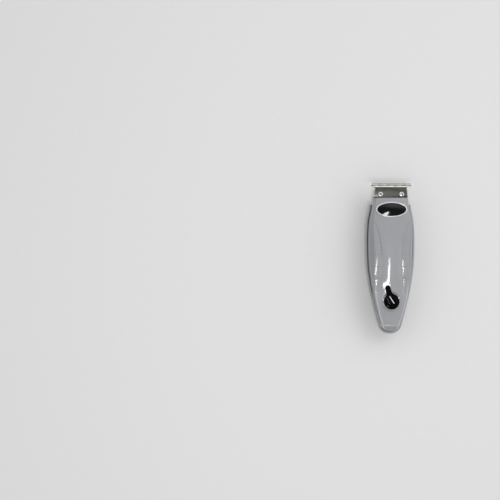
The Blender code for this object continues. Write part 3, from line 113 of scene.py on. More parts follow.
class Socket:
    """An output of a node, with arithmetic that adds Math nodes."""

    def __init__(self, shader: "Shader", output: bpy.types.NodeSocket | None) -> None:
        """Wrap one output of a shader's node."""
        self.shader = shader
        self.output = output

    def math(self, operation: str, *values: Any) -> "Socket":
        """Return the result of a Math node on these values."""
        return self.shader.node("ShaderNodeMath", {"operation": operation}, dict(enumerate(values)))

    def __add__(self, other: Any) -> "Socket":
        """Add a value or another socket."""
        return self.math("ADD", self, other)

    def __radd__(self, other: Any) -> "Socket":
        """Add this socket to a value."""
        return self.math("ADD", other, self)

    def __sub__(self, other: Any) -> "Socket":
        """Subtract a value or another socket."""
        return self.math("SUBTRACT", self, other)

    def __rsub__(self, other: Any) -> "Socket":
        """Subtract this socket from a value."""
        return self.math("SUBTRACT", other, self)

    def __mul__(self, other: Any) -> "Socket":
        """Multiply by a value or another socket."""
        return self.math("MULTIPLY", self, other)

    def __rmul__(self, other: Any) -> "Socket":
        """Multiply a value by this socket."""
        return self.math("MULTIPLY", other, self)

    def above(self, edge: float, width: float) -> "Socket":
        """Return a soft mask that is 1 where the value is above an edge.

        Args:
            edge: The middle of the step.
            width: Half the width of the step.

        Returns:
            The mask.
        """
        settings = {"interpolation_type": "SMOOTHSTEP"}
        limits = {"Value": self, "From Min": edge - width, "From Max": edge + width}
        return self.shader.node("ShaderNodeMapRange", settings, limits)


class Shader:
    """The node tree of one material or of the world."""

    def __init__(self, owner: bpy.types.Material | bpy.types.World) -> None:
        """Start with an empty tree.

        Args:
            owner: The material or world whose tree it is.
        """
        owner.use_nodes = True
        self.owner = owner
        self.tree = owner.node_tree
        self.tree.nodes.clear()

    def node(
        self, kind: str, settings: dict | None = None, inputs: dict | None = None, output: Any = 0,
    ) -> Socket:
        """Add one node.

        Args:
            kind: The node's type.
            settings: Properties of the node, set first.
            inputs: Values or sockets by input name or number.
            output: The output to return, by name or number.

        Returns:
            The wrapped output, or an empty one for a node at the end of the tree.
        """
        made = self.tree.nodes.new(kind)
        for key, value in (settings or {}).items():
            setattr(made, key, value)
        for key, value in (inputs or {}).items():
            if isinstance(value, Socket):
                self.tree.links.new(value.output, made.inputs[key])
            else:
                made.inputs[key].default_value = value
        return Socket(self, made.outputs[output] if made.outputs else None)

    def place(self, stretch: Point = (1.0, 1.0, 1.0)) -> Socket:
        """Return the object coordinates in millimetres, stretched per axis.

        Args:
            stretch: How much each axis is stretched.

        Returns:
            The coordinates.
        """
        where = self.node("ShaderNodeTexCoord", output="Object")
        scale = tuple(share / MM for share in stretch)
        return self.node("ShaderNodeMapping", {"vector_type": "POINT"}, {"Vector": where, "Scale": scale})

    def noise(self, scale: float, detail: float = 2.0, stretch: Point = (1.0, 1.0, 1.0)) -> Socket:
        """Return a noise value with so many features per millimetre."""
        inputs = {"Vector": self.place(stretch), "Scale": scale, "Detail": detail}
        return self.node("ShaderNodeTexNoise", {}, inputs, "Fac")

    def attribute(self, name: str) -> Socket:
        """Return a value stored on the mesh."""
        return self.node("ShaderNodeAttribute", {"attribute_name": name}, {}, "Fac")

    def blend(self, share: Any, first: Any, second: Any) -> Socket:
        """Mix two colours by a share."""
        return self.node("ShaderNodeMix", {"data_type": "RGBA"}, {0: share, 6: first, 7: second}, 2)

    def bump(self, height: Socket, depth: float) -> Socket:
        """Return a normal that is bent by a height, whose depth is in millimetres."""
        return self.node("ShaderNodeBump", {}, {"Distance": depth * MM, "Height": height})

    def close(self, inputs: dict) -> bpy.types.Material:
        """Add the surface shader and the output.

        Args:
            inputs: Values or sockets of the surface shader, by input name.

        Returns:
            The material.
        """
        surface = self.node("ShaderNodeBsdfPrincipled", {}, inputs)
        self.node("ShaderNodeOutputMaterial", {}, {"Surface": surface})
        return self.owner


def opaque(colour: Sequence[float], share: float = 1.0) -> tuple[float, float, float, float]:
    """Return a colour with full alpha, dimmed or lifted by a share."""
    red, green, blue = (channel * share for channel in colour)
    return (red, green, blue, 1.0)


@dataclass(frozen=True)
class ShellFinish:
    """Satin grey plastic with a fine metal flake, used for the two halves of the body."""

    name: str
    colour: Point
    roughness: float
    flake: float = 0.5
    coat: float = 0.75

    def material(self) -> bpy.types.Material:
        """Make the material: flake, haze, painted shade and painted highlights in the colour, orange peel in
        the surface.

        Returns:
            The material.
        """
        shader = Shader(bpy.data.materials.new(self.name))
        flake = shader.noise(5.0, 1.0)
        haze = shader.noise(0.09, 3.0)
        peel = shader.noise(0.9, 2.0)
        painted_shade = shader.attribute("painted_shade")
        grip = shader.attribute("grip")
        painted_highlight = shader.attribute("painted_highlight")
        share = 0.5 + (flake - 0.5) * self.flake + (haze - 0.5) * 0.35 - 0.12 * grip
        body = shader.blend(share, opaque(self.colour, 0.86), opaque(self.colour, 1.14))
        # painted shade: the colour darkens where the mesh carries painted shade, at the step lines, the
        # ledges, the flank's foot, the head edge and the rim channel
        shaded_body = shader.blend(painted_shade * (0.4 + 0.3 * haze), body, opaque(self.colour, 0.3))
        # painted highlight: the colour lightens along the ridge and the tail chamfer line, where light
        # catches those edges
        lightened = shader.blend(painted_highlight * (0.6 + 0.4 * flake), shaded_body, opaque(self.colour, 1.6))
        return shader.close({
            "Base Color": lightened,
            "Roughness": self.roughness + 0.08 * (haze - 0.5) + 0.05 * grip,
            "Coat Weight": self.coat,
            "Coat Roughness": 0.07,
            "Normal": shader.bump(peel + 0.3 * flake, 0.003),
        })


@dataclass(frozen=True)
class GlossFinish:
    """Polished black moulding under a clear coat, with faint wiping marks."""

    name: str
    colour: Point

    def material(self) -> bpy.types.Material:
        """Make the material: wiping marks in the roughness and a few specks of dirt in the colour.

        Returns:
            The material.
        """
        shader = Shader(bpy.data.materials.new(self.name))
        wipe = shader.noise(0.5, 3.0, (0.25, 1.0, 1.0))
        speck = shader.noise(2.2, 2.0).above(0.74, 0.03)
        body = shader.blend(speck * 0.35, opaque(self.colour), (0.09, 0.09, 0.09, 1.0))
        return shader.close({
            "Base Color": body,
            "Roughness": 0.05 + 0.06 * wipe,
            "Specular IOR Level": 0.42,
            "Normal": shader.bump(wipe, 0.002),
        })


@dataclass(frozen=True)
class PlatedFinish:
    """Bright plated metal with light smudges."""

    name: str
    colour: Point
    roughness: float
    metal: float = 1.0

    def material(self) -> bpy.types.Material:
        """Make the material: smudges in the roughness and a slow tone in the colour.

        Returns:
            The material.
        """
        shader = Shader(bpy.data.materials.new(self.name))
        smudge = shader.noise(0.7, 4.0)
        fine = shader.noise(6.0, 2.0)
        body = shader.blend(smudge, opaque(self.colour, 0.88), opaque(self.colour, 1.06))
        return shader.close({
            "Base Color": body,
            "Roughness": self.roughness + 0.14 * (smudge - 0.4),
            "Metallic": self.metal,
            "Normal": shader.bump(fine, 0.0012),
        })


@dataclass(frozen=True)
class GroundFinish:
    """Ground steel with grinding lines along one axis."""

    name: str
    colour: Point
    roughness: float
    lines: Point
    stain: Point = (0.10, 0.095, 0.08)
    metal: float = 1.0
    seam_y: float = -100.0
    band_y: float = 100.0
    band_width: float = 0.9
    band_colour: Point = (0.80, 0.79, 0.73)

    def material(self) -> bpy.types.Material:
        """Make the material: grinding lines, oil stains, painted shade along the rear seam and a lighter
        band.

        Returns:
            The material.
        """
        shader = Shader(bpy.data.materials.new(self.name))
        line = shader.noise(3.5, 3.0, self.lines)
        stain = shader.noise(0.22, 4.0).above(0.6, 0.12)
        body = shader.blend(line, opaque(self.colour, 0.7), opaque(self.colour, 1.3))
        along = shader.node("ShaderNodeSeparateXYZ", {}, {"Vector": shader.place()}, "Y")
        # painted shade: the steel darkens near its rear seam, where the shell's head edge shades it
        seam = 1.0 - along.above(self.seam_y + 0.8, 0.7)
        oiled = shader.blend(stain * 0.35, body, opaque(self.stain))
        seam_shaded = shader.blend(seam * 0.8, oiled, opaque(self.stain, 0.3))
        # a lighter band across the teeth near their tips
        band = along.above(self.band_y, 0.3) * (1.0 - along.above(self.band_y + self.band_width, 0.3))
        lightened = shader.blend(band, seam_shaded, opaque(self.band_colour))
        return shader.close({
            "Base Color": lightened,
            "Roughness": self.roughness + 0.16 * (line - 0.5) + 0.1 * stain,
            "Metallic": self.metal,
            "Normal": shader.bump(line, 0.008),
        })


@dataclass(frozen=True)
class GrainFinish:
    """Moulded or cast stuff with an even grain: plastic, rubber, wire, cell wrap or plain inner metal."""

    name: str
    colour: Point
    roughness: float
    metal: float = 0.0
    grain: float = 3.0
    stretch: Point = (1.0, 1.0, 1.0)
    contrast: float = 0.2
    depth: float = 0.01
    shine: float = 0.5

    def material(self) -> bpy.types.Material:
        """Make the material: grain in colour, roughness and surface, over a slow change of tone.

        Returns:
            The material.
        """
        shader = Shader(bpy.data.materials.new(self.name))
        grain = shader.noise(self.grain, 3.0, self.stretch)
        tone = shader.noise(0.15, 2.0)
        share = 0.5 * grain + 0.5 * tone
        dark = opaque(self.colour, 1.0 - self.contrast)
        light = opaque(self.colour, 1.0 + self.contrast)
        return shader.close({
            "Base Color": shader.blend(share, dark, light),
            "Roughness": self.roughness + 0.15 * (grain - 0.5),
            "Metallic": self.metal,
            "Specular IOR Level": self.shine,
            "Normal": shader.bump(grain, self.depth),
        })


class Finishes:
    """Every finish of the trimmer, made once each."""

    SHELL = ShellFinish("satin_grey_shell", (0.345, 0.350, 0.366), 0.42)
    # painted highlight: a lighter copy of the shell grey for the rim's lip, which catches more light
    LIT_RIM = ShellFinish("satin_grey_rim_painted_light", (0.40, 0.405, 0.42), 0.5, coat=0.0)
    BADGE = GlossFinish("polished_black_badge", (0.006, 0.006, 0.0065))
    BEZEL = PlatedFinish("plated_bezel", (0.90, 0.90, 0.88), 0.2, 0.45)
    SCREW = PlatedFinish("plated_screw", (0.74, 0.74, 0.72), 0.24)
    # painted shade at the neck plate's rear, where it meets the shell's head edge
    PLATE = GroundFinish("ground_neck_plate", (0.225, 0.226, 0.212), 0.3, (0.04, 1.0, 1.0), seam_y=60.9)
    # painted reflection: the bar's steel gets a pale cream colour and little metal, standing in for the
    # bright reflection along its bevel
    SHEEN_BAR = GroundFinish("tooth_bar_painted_reflection", (0.90, 0.88, 0.80), 0.3, (1.0, 0.05, 1.0), metal=0.35)
    TOOTH = GroundFinish(
        "ground_tooth_row", (0.20, 0.21, 0.19), 0.3, (1.0, 0.05, 1.0), metal=0.6, band_y=72.95,
    )
    NOSE = GrainFinish("satin_silver_nose", (0.56, 0.56, 0.55), 0.34, 0.25, 4.0)
    LEVER = GrainFinish(
        "black_lever_moulding", (0.0015, 0.0015, 0.0017), 0.18, 0.0, 2.5,
        contrast=0.3, depth=0.001, shine=0.04,
    )
    # painted highlight: the white strip on the lever's disc
    HIGHLIGHT_STRIP = GrainFinish("white_painted_highlight", (0.86, 0.86, 0.84), 0.5, 0.0, 4.0, contrast=0.08)
    GREY_STRIP = GrainFinish("grey_disc_strip", (0.16, 0.16, 0.16), 0.5, 0.0, 4.0, contrast=0.3)
    STEEL = GrainFinish("drawn_steel", (0.50, 0.50, 0.50), 0.34, 1.0, 3.0, (1.0, 0.08, 1.0))
    BRASS = GrainFinish("turned_brass", (0.60, 0.45, 0.18), 0.34, 1.0, 4.0, (0.1, 1.0, 1.0))
    MAGNET = GrainFinish("sintered_magnet", (0.06, 0.06, 0.06), 0.62, 0.2, 6.0)
    COPPER = GrainFinish("wound_copper", (0.55, 0.24, 0.12), 0.4, 1.0, 2.5, (1.0, 0.06, 1.0), 0.35)
    RUBBER = GrainFinish("moulded_rubber", (0.02, 0.02, 0.02), 0.8, 0.0, 5.0)
    CELL = GrainFinish("shrink_wrapped_cell", (0.03, 0.20, 0.08), 0.38, 0.0, 0.6, (1.0, 0.2, 1.0), 0.15)
    BOARD = GrainFinish("green_circuit_board", (0.02, 0.14, 0.06), 0.45, 0.0, 1.2, contrast=0.3)
    NYLON = GrainFinish("moulded_nylon", (0.70, 0.70, 0.66), 0.5, 0.0, 2.0, contrast=0.06)
    RED_LEAD = GrainFinish("red_lead", (0.40, 0.02, 0.02), 0.5)
    BLACK_LEAD = GrainFinish("black_lead", (0.02, 0.02, 0.02), 0.5)
    FLOOR = GrainFinish("pale_floor_sweep", (0.80, 0.80, 0.80), 0.85, 0.0, 0.4, contrast=0.02, depth=0.02)

    made: dict[str, bpy.types.Material] = {}

    @classmethod
    def get(cls, finish: Any) -> bpy.types.Material:
        """Return the material of a finish, made at its first use.

        Args:
            finish: One of the finishes.

        Returns:
            The material.
        """
        if finish.name not in cls.made:
            cls.made[finish.name] = finish.material()
        return cls.made[finish.name]


class Solid:
    """Gathers the points and faces of one mesh, in millimetres."""

    def __init__(self) -> None:
        """Start with no points."""
        self.points: list[Point] = []
        self.faces: list[tuple[int, ...]] = []
        self.values: dict[str, list[float]] = {}

    def ring(self, points: Iterable[Point]) -> Ring:
        """Add points.

        Args:
            points: The points to add.

        Returns:
            Their numbers in the mesh.
        """
        start = len(self.points)
        self.points.extend(points)
        return list(range(start, len(self.points)))

    def bridge(self, first: Ring, second: Ring, closed: bool = True) -> None:
        """Join two rings of the same length with quads.

        Args:
            first: The numbers of one ring.
            second: The numbers of the other.
            closed: Whether the last points are joined to the first.
        """
        count = len(first)
        for index in range(count if closed else count - 1):
            after = (index + 1) % count
            self.faces.append((first[index], first[after], second[after], second[index]))

    def cap(self, ring: Sequence[int]) -> None:
        """Close a ring with one face."""
        self.faces.append(tuple(ring))

    def loft(self, rings: Sequence[Sequence[Point]], closed_path: bool = False) -> None:
        """Add a skin over closed rings, with end caps unless the path closes on itself.

        Args:
            rings: Closed rings of the same number of points.
            closed_path: Whether the last ring joins the first.
        """
        numbers = [self.ring(points) for points in rings]
        for first, second in zip(numbers, numbers[1:]):
            self.bridge(first, second)
        if closed_path:
            self.bridge(numbers[-1], numbers[0])
        else:
            self.cap(numbers[0])
            self.cap(numbers[-1])

    def turned(self, profile: Sequence[Plan], centre: Point, facets: int, axis: Axis = Axis.UPRIGHT) -> None:
        """Add a turned solid.

        Args:
            profile: (radius, place along the axis) pairs; one that returns to its start is hollow.
            centre: Where the axis passes and its places are measured from.
            facets: How many facets go round.
            axis: The axis it is turned about.
        """
        rings = []
        for radius, along in profile:
            points = []
            for index in range(facets):
                angle = math.tau * index / facets
                across = radius * math.cos(angle)
                other = radius * math.sin(angle)
                shift = (across, along, other) if axis is Axis.ALONG_Y else (across, other, along)
                points.append(tuple(base + move for base, move in zip(centre, shift)))
            rings.append(points)
        hollow = profile[0][0] > 0.0 and profile[0] == profile[-1]
        self.loft(rings[:-1] if hollow else rings, closed_path=hollow)

    def cylinder(
        self, radius: float, span: Plan, centre: Point, facets: int, axis: Axis = Axis.UPRIGHT,
    ) -> None:
        """Add a round bar, or the cutter of a round hole, over a span of its axis."""
        low, high = span
        self.turned(((0.0, low), (radius, low), (radius, high), (0.0, high)), centre, facets, axis)

    def prism(self, outline: Sequence[Plan], low: float, high: float) -> None:
        """Add an upright prism over a plan."""
        self.loft([[(x, y, z) for x, y in outline] for z in (low, high)])

    def block(self, half: float, reach: Plan, heights: Plan) -> None:
        """Add a block that is as wide to both sides, from the rear to the front of its reach along Y."""
        rear, front = reach
        self.prism(((-half, rear), (half, rear), (half, front), (-half, front)), *heights)

    def mesh(self, name: str, crease: float = 34.0) -> bpy.types.Object:
        """Make the object: merged, with its faces turned outwards and smooth up to an angle.

        Args:
            name: The piece's name.
            crease: The angle in degrees past which an edge stays sharp.

        Returns:
            The new object, linked to the scene.
        """
        data = bpy.data.meshes.new(name)
        data.from_pydata([tuple(value * MM for value in point) for point in self.points], [], self.faces)
        for label, values in self.values.items():
            layer = data.attributes.new(label, "FLOAT", "POINT")
            layer.data.foreach_set("value", values)
        made = bpy.data.objects.new(name, data)
        bpy.context.scene.collection.objects.link(made)
        Workshop.settle(made, crease)
        return made


class Workshop:
    """Steps on finished objects: settling, cutting, bevelling and dressing."""

    MERGE = 1e-7

    @classmethod
    def settle(cls, made: bpy.types.Object, crease: float) -> None:
        """Merge double points, turn the faces outwards and shade them smooth up to an angle.

        Args:
            made: The object.
            crease: The angle in degrees past which an edge stays sharp.
        """
        shape = bmesh.new()
        shape.from_mesh(made.data)
        bmesh.ops.remove_doubles(shape, verts=shape.verts, dist=cls.MERGE)
        bmesh.ops.recalc_face_normals(shape, faces=shape.faces)
        for face in shape.faces:
            face.smooth = True
        shape.to_mesh(made.data)
        shape.free()
        made.data.set_sharp_from_angle(angle=math.radians(crease))

    @staticmethod
    def apply(made: bpy.types.Object) -> None:
        """Bake an object's modifiers into its mesh.

        Args:
            made: The object.
        """
        graph = bpy.context.evaluated_depsgraph_get()
        shaped = made.evaluated_get(graph)
        baked = bpy.data.meshes.new_from_object(shaped, preserve_all_data_layers=True, depsgraph=graph)
        old = made.data
        made.modifiers.clear()
        made.data = baked
        bpy.data.meshes.remove(old)
        baked.name = made.name

    @classmethod
    def cut(cls, made: bpy.types.Object, *cutters: bpy.types.Object, crease: float = 34.0) -> None:
        """Cut shapes out of an object and remove the cutters.

        Args:
            made: The object.
            cutters: The shapes to cut out.
            crease: The angle in degrees past which an edge stays sharp.
        """
        for cutter in cutters:
            step = made.modifiers.new("cut", "BOOLEAN")
            step.operation = "DIFFERENCE"
            step.solver = "EXACT"
            step.object = cutter
        cls.apply(made)
        for cutter in cutters:
            bpy.data.objects.remove(cutter, do_unlink=True)
        made.data.set_sharp_from_angle(angle=math.radians(crease))

    @classmethod
    def bevel(cls, made: bpy.types.Object, width: float, segments: int = 3, crease: float = 40.0) -> None:
        """Round the sharp edges of an object.

        Args:
            made: The object.
            width: The width of the rounding.
            segments: How many faces it has across.
            crease: The angle in degrees past which an edge is rounded.
        """
        step = made.modifiers.new("bevel", "BEVEL")
        step.width = width * MM
        step.segments = segments
        step.limit_method = "ANGLE"
        step.angle_limit = math.radians(crease)
        cls.apply(made)
        for face in made.data.polygons:
            face.use_smooth = True
        made.data.set_sharp_from_angle(angle=math.radians(crease))

    @staticmethod
    def paint(made: bpy.types.Object, label: str, rule: Callable[[float, float, float], float]) -> None:
        """Store a value on each point of a mesh, from a rule on its place in millimetres."""
        layer = made.data.attributes.new(label, "FLOAT", "POINT")
        layer.data.foreach_set("value", [rule(*(point.co / MM)) for point in made.data.vertices])

    @staticmethod
    def dress(made: bpy.types.Object, finish: Any, body: str, slot: str, nodes: Sequence[str] = ()) -> None:
        """Give a piece its finish and its body, and hide the CAD nodes that it stands for.

        Args:
            made: The piece.
            finish: Its finish.
            body: The body that it rides on.
            slot: Its material slot in the record; not used.
            nodes: The nodes that it replaces.
        """
        made.data.materials.clear()
        made.data.materials.append(Finishes.get(finish))
        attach(made, body)
        if nodes:
            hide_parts(*nodes)
        LOG.info("%s rides on %s as %s", made.name, body, finish.name)


@dataclass(frozen=True)
class Curve:
    """A smooth curve through (place along Y, value) stations."""

    stations: tuple[Plan, ...]

    def at(self, y: float) -> float:
        """Return the curve's value at a place along Y, going on straight past its ends.

        Args:
            y: The place along Y.

        Returns:
            The value there.
        """
        points = sorted(self.stations)
        last = len(points) - 1
        index = max((i for i in range(last) if points[i][0] <= y), default=0)
        (y0, v0), (y1, v1) = points[index], points[index + 1]
        start, end = self.slope(points, index), self.slope(points, index + 1)
        if y <= points[0][0]:
            return v0 + start * (y - y0)
        if y >= points[last][0]:
            return v1 + end * (y - y1)
        span = y1 - y0
        share = (y - y0) / span
        rise = share * share * (3.0 - 2.0 * share)
        bend = share * (1.0 - share) ** 2 * start - share * share * (1.0 - share) * end
        return v0 + (v1 - v0) * rise + span * bend

    @staticmethod
    def slope(points: Sequence[Plan], index: int) -> float:
        """Return the slope at a station, from its neighbours.

        Args:
            points: The stations in order.
            index: Which station.

        Returns:
            The slope there.
        """
        before = points[max(index - 1, 0)]
        after = points[min(index + 1, len(points) - 1)]
        return (after[1] - before[1]) / (after[0] - before[0])


class Half(Enum):
    """The two halves of the body; the value is the side of the parting plane."""

    FRONT = 1
    REAR = -1


@dataclass(frozen=True)
class BodyShape:
    """The common shape of the two shells: rim, crown and back lines, and the sections between them."""

    rim: Curve = Curve((
        (60.5, 20.3), (50.0, 21.2), (38.5, 23.5), (25.0, 24.5), (13.0, 24.65),
        (0.5, 24.3), (-11.5, 23.5), (-31.5, 20.35), (-51.5, 15.7), (-75.0, 9.4),
    ))
    crown: Curve = Curve((
        (60.5, 33.0), (45.0, 35.3), (25.0, 36.7), (8.0, 37.0),
        (-10.0, 36.4), (-30.0, 34.6), (-50.0, 32.2), (-75.0, 28.0),
    ))
    back: Curve = Curve((
        (60.5, 9.5), (48.0, 4.5), (34.0, 0.9), (22.0, -0.8), (0.0, -1.3),
        (-24.0, -0.6), (-40.0, 1.6), (-55.0, 4.2), (-75.0, 8.0),
    ))
    grip_line: Curve = Curve((
        (44.0, 22.5), (39.5, 19.4), (36.5, 17.1), (32.5, 15.2), (27.5, 13.3), (21.5, 11.8), (15.5, 10.8),
        (8.5, 9.9), (3.5, 9.6), (-6.0, 9.7), (-20.0, 10.3), (-31.5, 11.4), (-45.0, 11.0), (-66.0, 7.2),
    ))
    ridge: Curve = Curve((
        (60.5, 13.6), (50.0, 14.6), (38.5, 16.6), (25.0, 16.4), (13.0, 15.0), (3.0, 14.0), (-9.0, 15.5),
        (-16.0, 16.2), (-26.0, 16.1), (-41.0, 14.5), (-56.0, 11.2), (-66.0, 7.8), (-75.0, 5.4),
    ))
    grip_fall: Curve = Curve((
        (60.5, 0.5), (46.0, 0.6), (34.0, 0.85), (22.0, 1.1), (0.0, 1.3), (-12.0, 1.4),
        (-20.0, 1.4), (-32.0, 1.15), (-45.0, 0.85), (-60.0, 0.6), (-75.0, 0.4),
    ))
    ridge_fall: Curve = Curve((
        (60.5, 0.9), (46.0, 1.1), (34.0, 1.2), (22.0, 1.25), (0.0, 1.3), (-12.0, 1.38),
        (-20.0, 1.38), (-32.0, 1.2), (-45.0, 1.2), (-60.0, 1.0), (-75.0, 0.8),
    ))
    grip_limit: float = 0.8
    ridge_limit: float = 0.93
    side_bulge: Curve = Curve(((25.0, 0.02), (4.0, 0.05), (-6.0, 0.1), (-12.0, 0.13), (-40.0, 0.13)))
    flank_power: float = 2.3
    rear_power: float = 2.6
    head_y: float = 60.5
    tail_y: float = -75.0
    front_tail_y: float = -72.4
    parting_z: float = 17.0
    front_edge_z: float = 17.3
    wall: float = 2.0
    rim_step: float = 2.6
    rim_top_y: float = 53.5
    round_length: float = 8.5
    round_power: float = 2.4
    round_end: float = 0.99
    chamfer_y: float = -66.7
    chamfer_slope: float = 0.85
    slot_half: float = 13.3
    slot_reach: Plan = (57.5, 61.5)
    slot_heights: Plan = (14.7, 27.3)

    def end_y(self, half: Half, inset: float = 0.0) -> float:
        """Return the tail end of a skin along Y."""
        inner = half is Half.FRONT or inset > 0.0
        return (self.front_tail_y if inner else self.tail_y) + inset

    def half_width(self, half: Half, y: float, inset: float = 0.0) -> float:
        """Return half the width at the parting edge.

        Args:
            half: Which half of the body.
            y: The place along Y.
            inset: How far the skin lies inside the outer one.

        Returns:
            Half the width of that skin.
        """
        stepped = half is Half.FRONT or inset > 0.0 or y > self.rim_top_y
        width = self.rim.at(y) - inset - (self.rim_step if stepped else 0.0)
        start = self.tail_y + self.round_length + inset
        if y < start:
            share = min((start - y) / (start - self.end_y(half, inset)), self.round_end)
            width *= (1.0 - share**self.round_power) ** (1.0 / self.round_power)
        return width

    def depth(self, half: Half, y: float, inset: float = 0.0) -> float:
        """Return how far a section reaches from the parting edge.

        Args:
            half: Which half of the body.
            y: The place along Y.
            inset: How far the skin lies inside the outer one.

        Returns:
            The section's depth.
        """
        if half is Half.FRONT:
            crown = self.crown.at(max(y, self.chamfer_y)) - self.chamfer_slope * max(self.chamfer_y - y, 0.0)
            return crown - self.front_edge_z - inset
        back = self.back.at(y)
        return self.parting_z - (max(back, 0.0) if inset else back) - inset

    def lines(self, y: float, inset: float = 0.0) -> tuple[float, float, float]:
        """Return the places across of the grip line, the ridge and the edge of a front section.

        Args:
            y: The place along Y.
            inset: How far the skin lies inside the outer one.

        Returns:
            The three places.
        """
        width = self.half_width(Half.FRONT, y, inset)
        ridge = min(self.ridge.at(y) - inset, self.ridge_limit * width)
        return min(self.grip_line.at(y), self.grip_limit * ridge), ridge, width

    def top(self, x: float, y: float, inset: float = 0.0) -> float:
        """Return the height of the front skin: three lobes inside the ridge, a rounded flank outside it.

        Args:
            x: The place across.
            y: The place along.
            inset: How far the skin lies inside the outer one.

        Returns:
            The height above a place in plan.
        """
        line, ridge, width = self.lines(y, inset)
        crown = self.front_edge_z + self.depth(Half.FRONT, y, inset)
        valley = crown - self.grip_fall.at(y)
        corner = crown - self.ridge_fall.at(y)
        across = min(abs(x), width)
        if across < line:
            return crown + (valley - crown) * (across / line) ** 2
        if across < ridge:
            share = (across - line) / (ridge - line)
            bulge = 4.0 * self.side_bulge.at(y) * share * (1.0 - share)
            return valley + (corner - valley) * share + bulge
        share = (across - ridge) / (width - ridge)
        along = max(1.0 - share**self.flank_power, 0.0) ** (1.0 / self.flank_power)
        return self.front_edge_z + (corner - self.front_edge_z) * along

    def bottom(self, x: float, y: float) -> float:
        """Return the height of the back above the surface that the trimmer lies on.

        Args:
            x: The place across.
            y: The place along Y.

        Returns:
            The height.
        """
        share = min(abs(x) / self.half_width(Half.REAR, y), 1.0)
        depth = self.depth(Half.REAR, y)
        return max(self.parting_z - depth * (1.0 - share**self.rear_power) ** (1.0 / self.rear_power), 0.0)

    def front_section(self, y: float, inset: float, steps: int, edge: float) -> list[Point]:
        """Return one section of the front half from the right edge over to the left edge.

        Args:
            y: The place along Y.
            inset: How far the skin lies inside the outer one.
            steps: How many parts the top and each flank have.
            edge: The radius of the parting edge; 0 leaves it sharp.

        Returns:
            The section's points.
        """
        _, ridge, width = self.lines(y, inset)
        base = self.front_edge_z
        places = [ridge * index / steps for index in range(steps)]
        height = self.top(ridge, y, inset) - base
        start = math.asin((edge / height) ** (self.flank_power / 2.0))
        for index in range(steps + 1):
            angle = math.pi / 2.0 + (start - math.pi / 2.0) * index / steps
            places.append(ridge + (width - ridge) * max(math.cos(angle), 0.0) ** (2.0 / self.flank_power))
        right = [(x, self.top(x, y, inset)) for x in places]
        if edge:
            right += [(width - edge * 0.3, base + edge * 0.3), (width - edge, base)]
        points = [(x, y, z) for x, z in reversed(right)]
        return points + [(-x, y, z) for x, z in right[1:]]

    def rear_section(self, y: float, inset: float, steps: int) -> list[Point]:
        """Return one section of the rear half from the right edge over to the left edge.

        Args:
            y: The place along Y.
            inset: How far the skin lies inside the outer one.
            steps: How many parts the section has.

        Returns:
            The section's points.
        """
        width = self.half_width(Half.REAR, y, inset)
        depth = self.depth(Half.REAR, y, inset)
        power = self.rear_power
        points = []
        for index in range(steps + 1):
            angle = math.pi * index / steps
            cosine, sine = math.cos(angle), max(math.sin(angle), 0.0)
            reach = (abs(cosine) ** power + sine**power) ** (-1.0 / power)
            points.append((width * reach * cosine, y, max(self.parting_z - depth * reach * sine, 0.0)))
        return points

    def rows(self, half: Half, inset: float, pitch: float, extra: Sequence[float] = ()) -> list[float]:
        """Return the places of the sections along Y, head first, closer together round the tail.

        Args:
            half: Which half of the body.
            inset: How far the skin lies inside the outer one.
            pitch: The distance between plain sections.
            extra: Further places that need a section.

        Returns:
            The places from head to tail.
        """
        start = self.tail_y + self.round_length + inset
        head = self.head_y - inset
        count = math.ceil((head - start) / pitch)
        places = {round(head + (start - head) * index / count, 3) for index in range(count + 1)}
        places.update(round(place, 3) for place in extra if start < place < head)
        bends = max(8, math.ceil(self.round_length / pitch))
        end = self.end_y(half, inset)
        for index in range(1, bends + 1):
            share = self.round_end * math.sin(math.pi / 2.0 * index / bends)
            places.add(round(start + (end - start) * share, 3))
        return sorted(places, reverse=True)


BODY = BodyShape()


class ShellSkin:
    """A half of the body as a wall: a fine outer skin and a plainer inner one, joined at the parting edge."""

    INNER_ROWS = 34
    INNER_STEPS = 40

    def __init__(self, half: Half, outer: list[list[Point]]) -> None:
        """Build the wall under an outer skin of sections that run from head to tail.

        Args:
            half: Which half of the body.
            outer: The sections of the outer skin.
        """
        self.solid = Solid()
        skin = [self.solid.ring(points) for points in outer]
        for first, second in zip(skin, skin[1:]):
            self.solid.bridge(first, second, closed=False)
        head, tail = BODY.head_y - BODY.wall, BODY.end_y(half, BODY.wall)
        span = outer[0][0][1] - outer[-1][0][1]
        inner, picks = [], []
        for index in range(self.INNER_ROWS + 1):
            pick = round((len(outer) - 1) * index / self.INNER_ROWS)
            share = (outer[0][0][1] - outer[pick][0][1]) / span
            y = head + (tail - head) * min(share, 0.995)
            if half is Half.FRONT:
                points = BODY.front_section(y, BODY.wall, self.INNER_STEPS, 0.0)
            else:
                points = BODY.rear_section(y, BODY.wall, self.INNER_STEPS)
            inner.append(self.solid.ring(points))
            picks.append(pick)
        for first, second in zip(inner, inner[1:]):
            self.solid.bridge(first, second, closed=False)
        for index, (start, end) in enumerate(zip(picks, picks[1:])):
            for edge in (0, -1):
                strip = [skin[row][edge] for row in range(start, end + 1)]
                self.solid.cap(strip + [inner[index + 1][edge], inner[index][edge]])
        for rings in (skin, inner):
            self.solid.cap(rings[0])
            self.solid.cap(rings[-1])
        for end in (0, -1):
            self.solid.cap((skin[end][0], skin[end][-1], inner[end][-1], inner[end][0]))


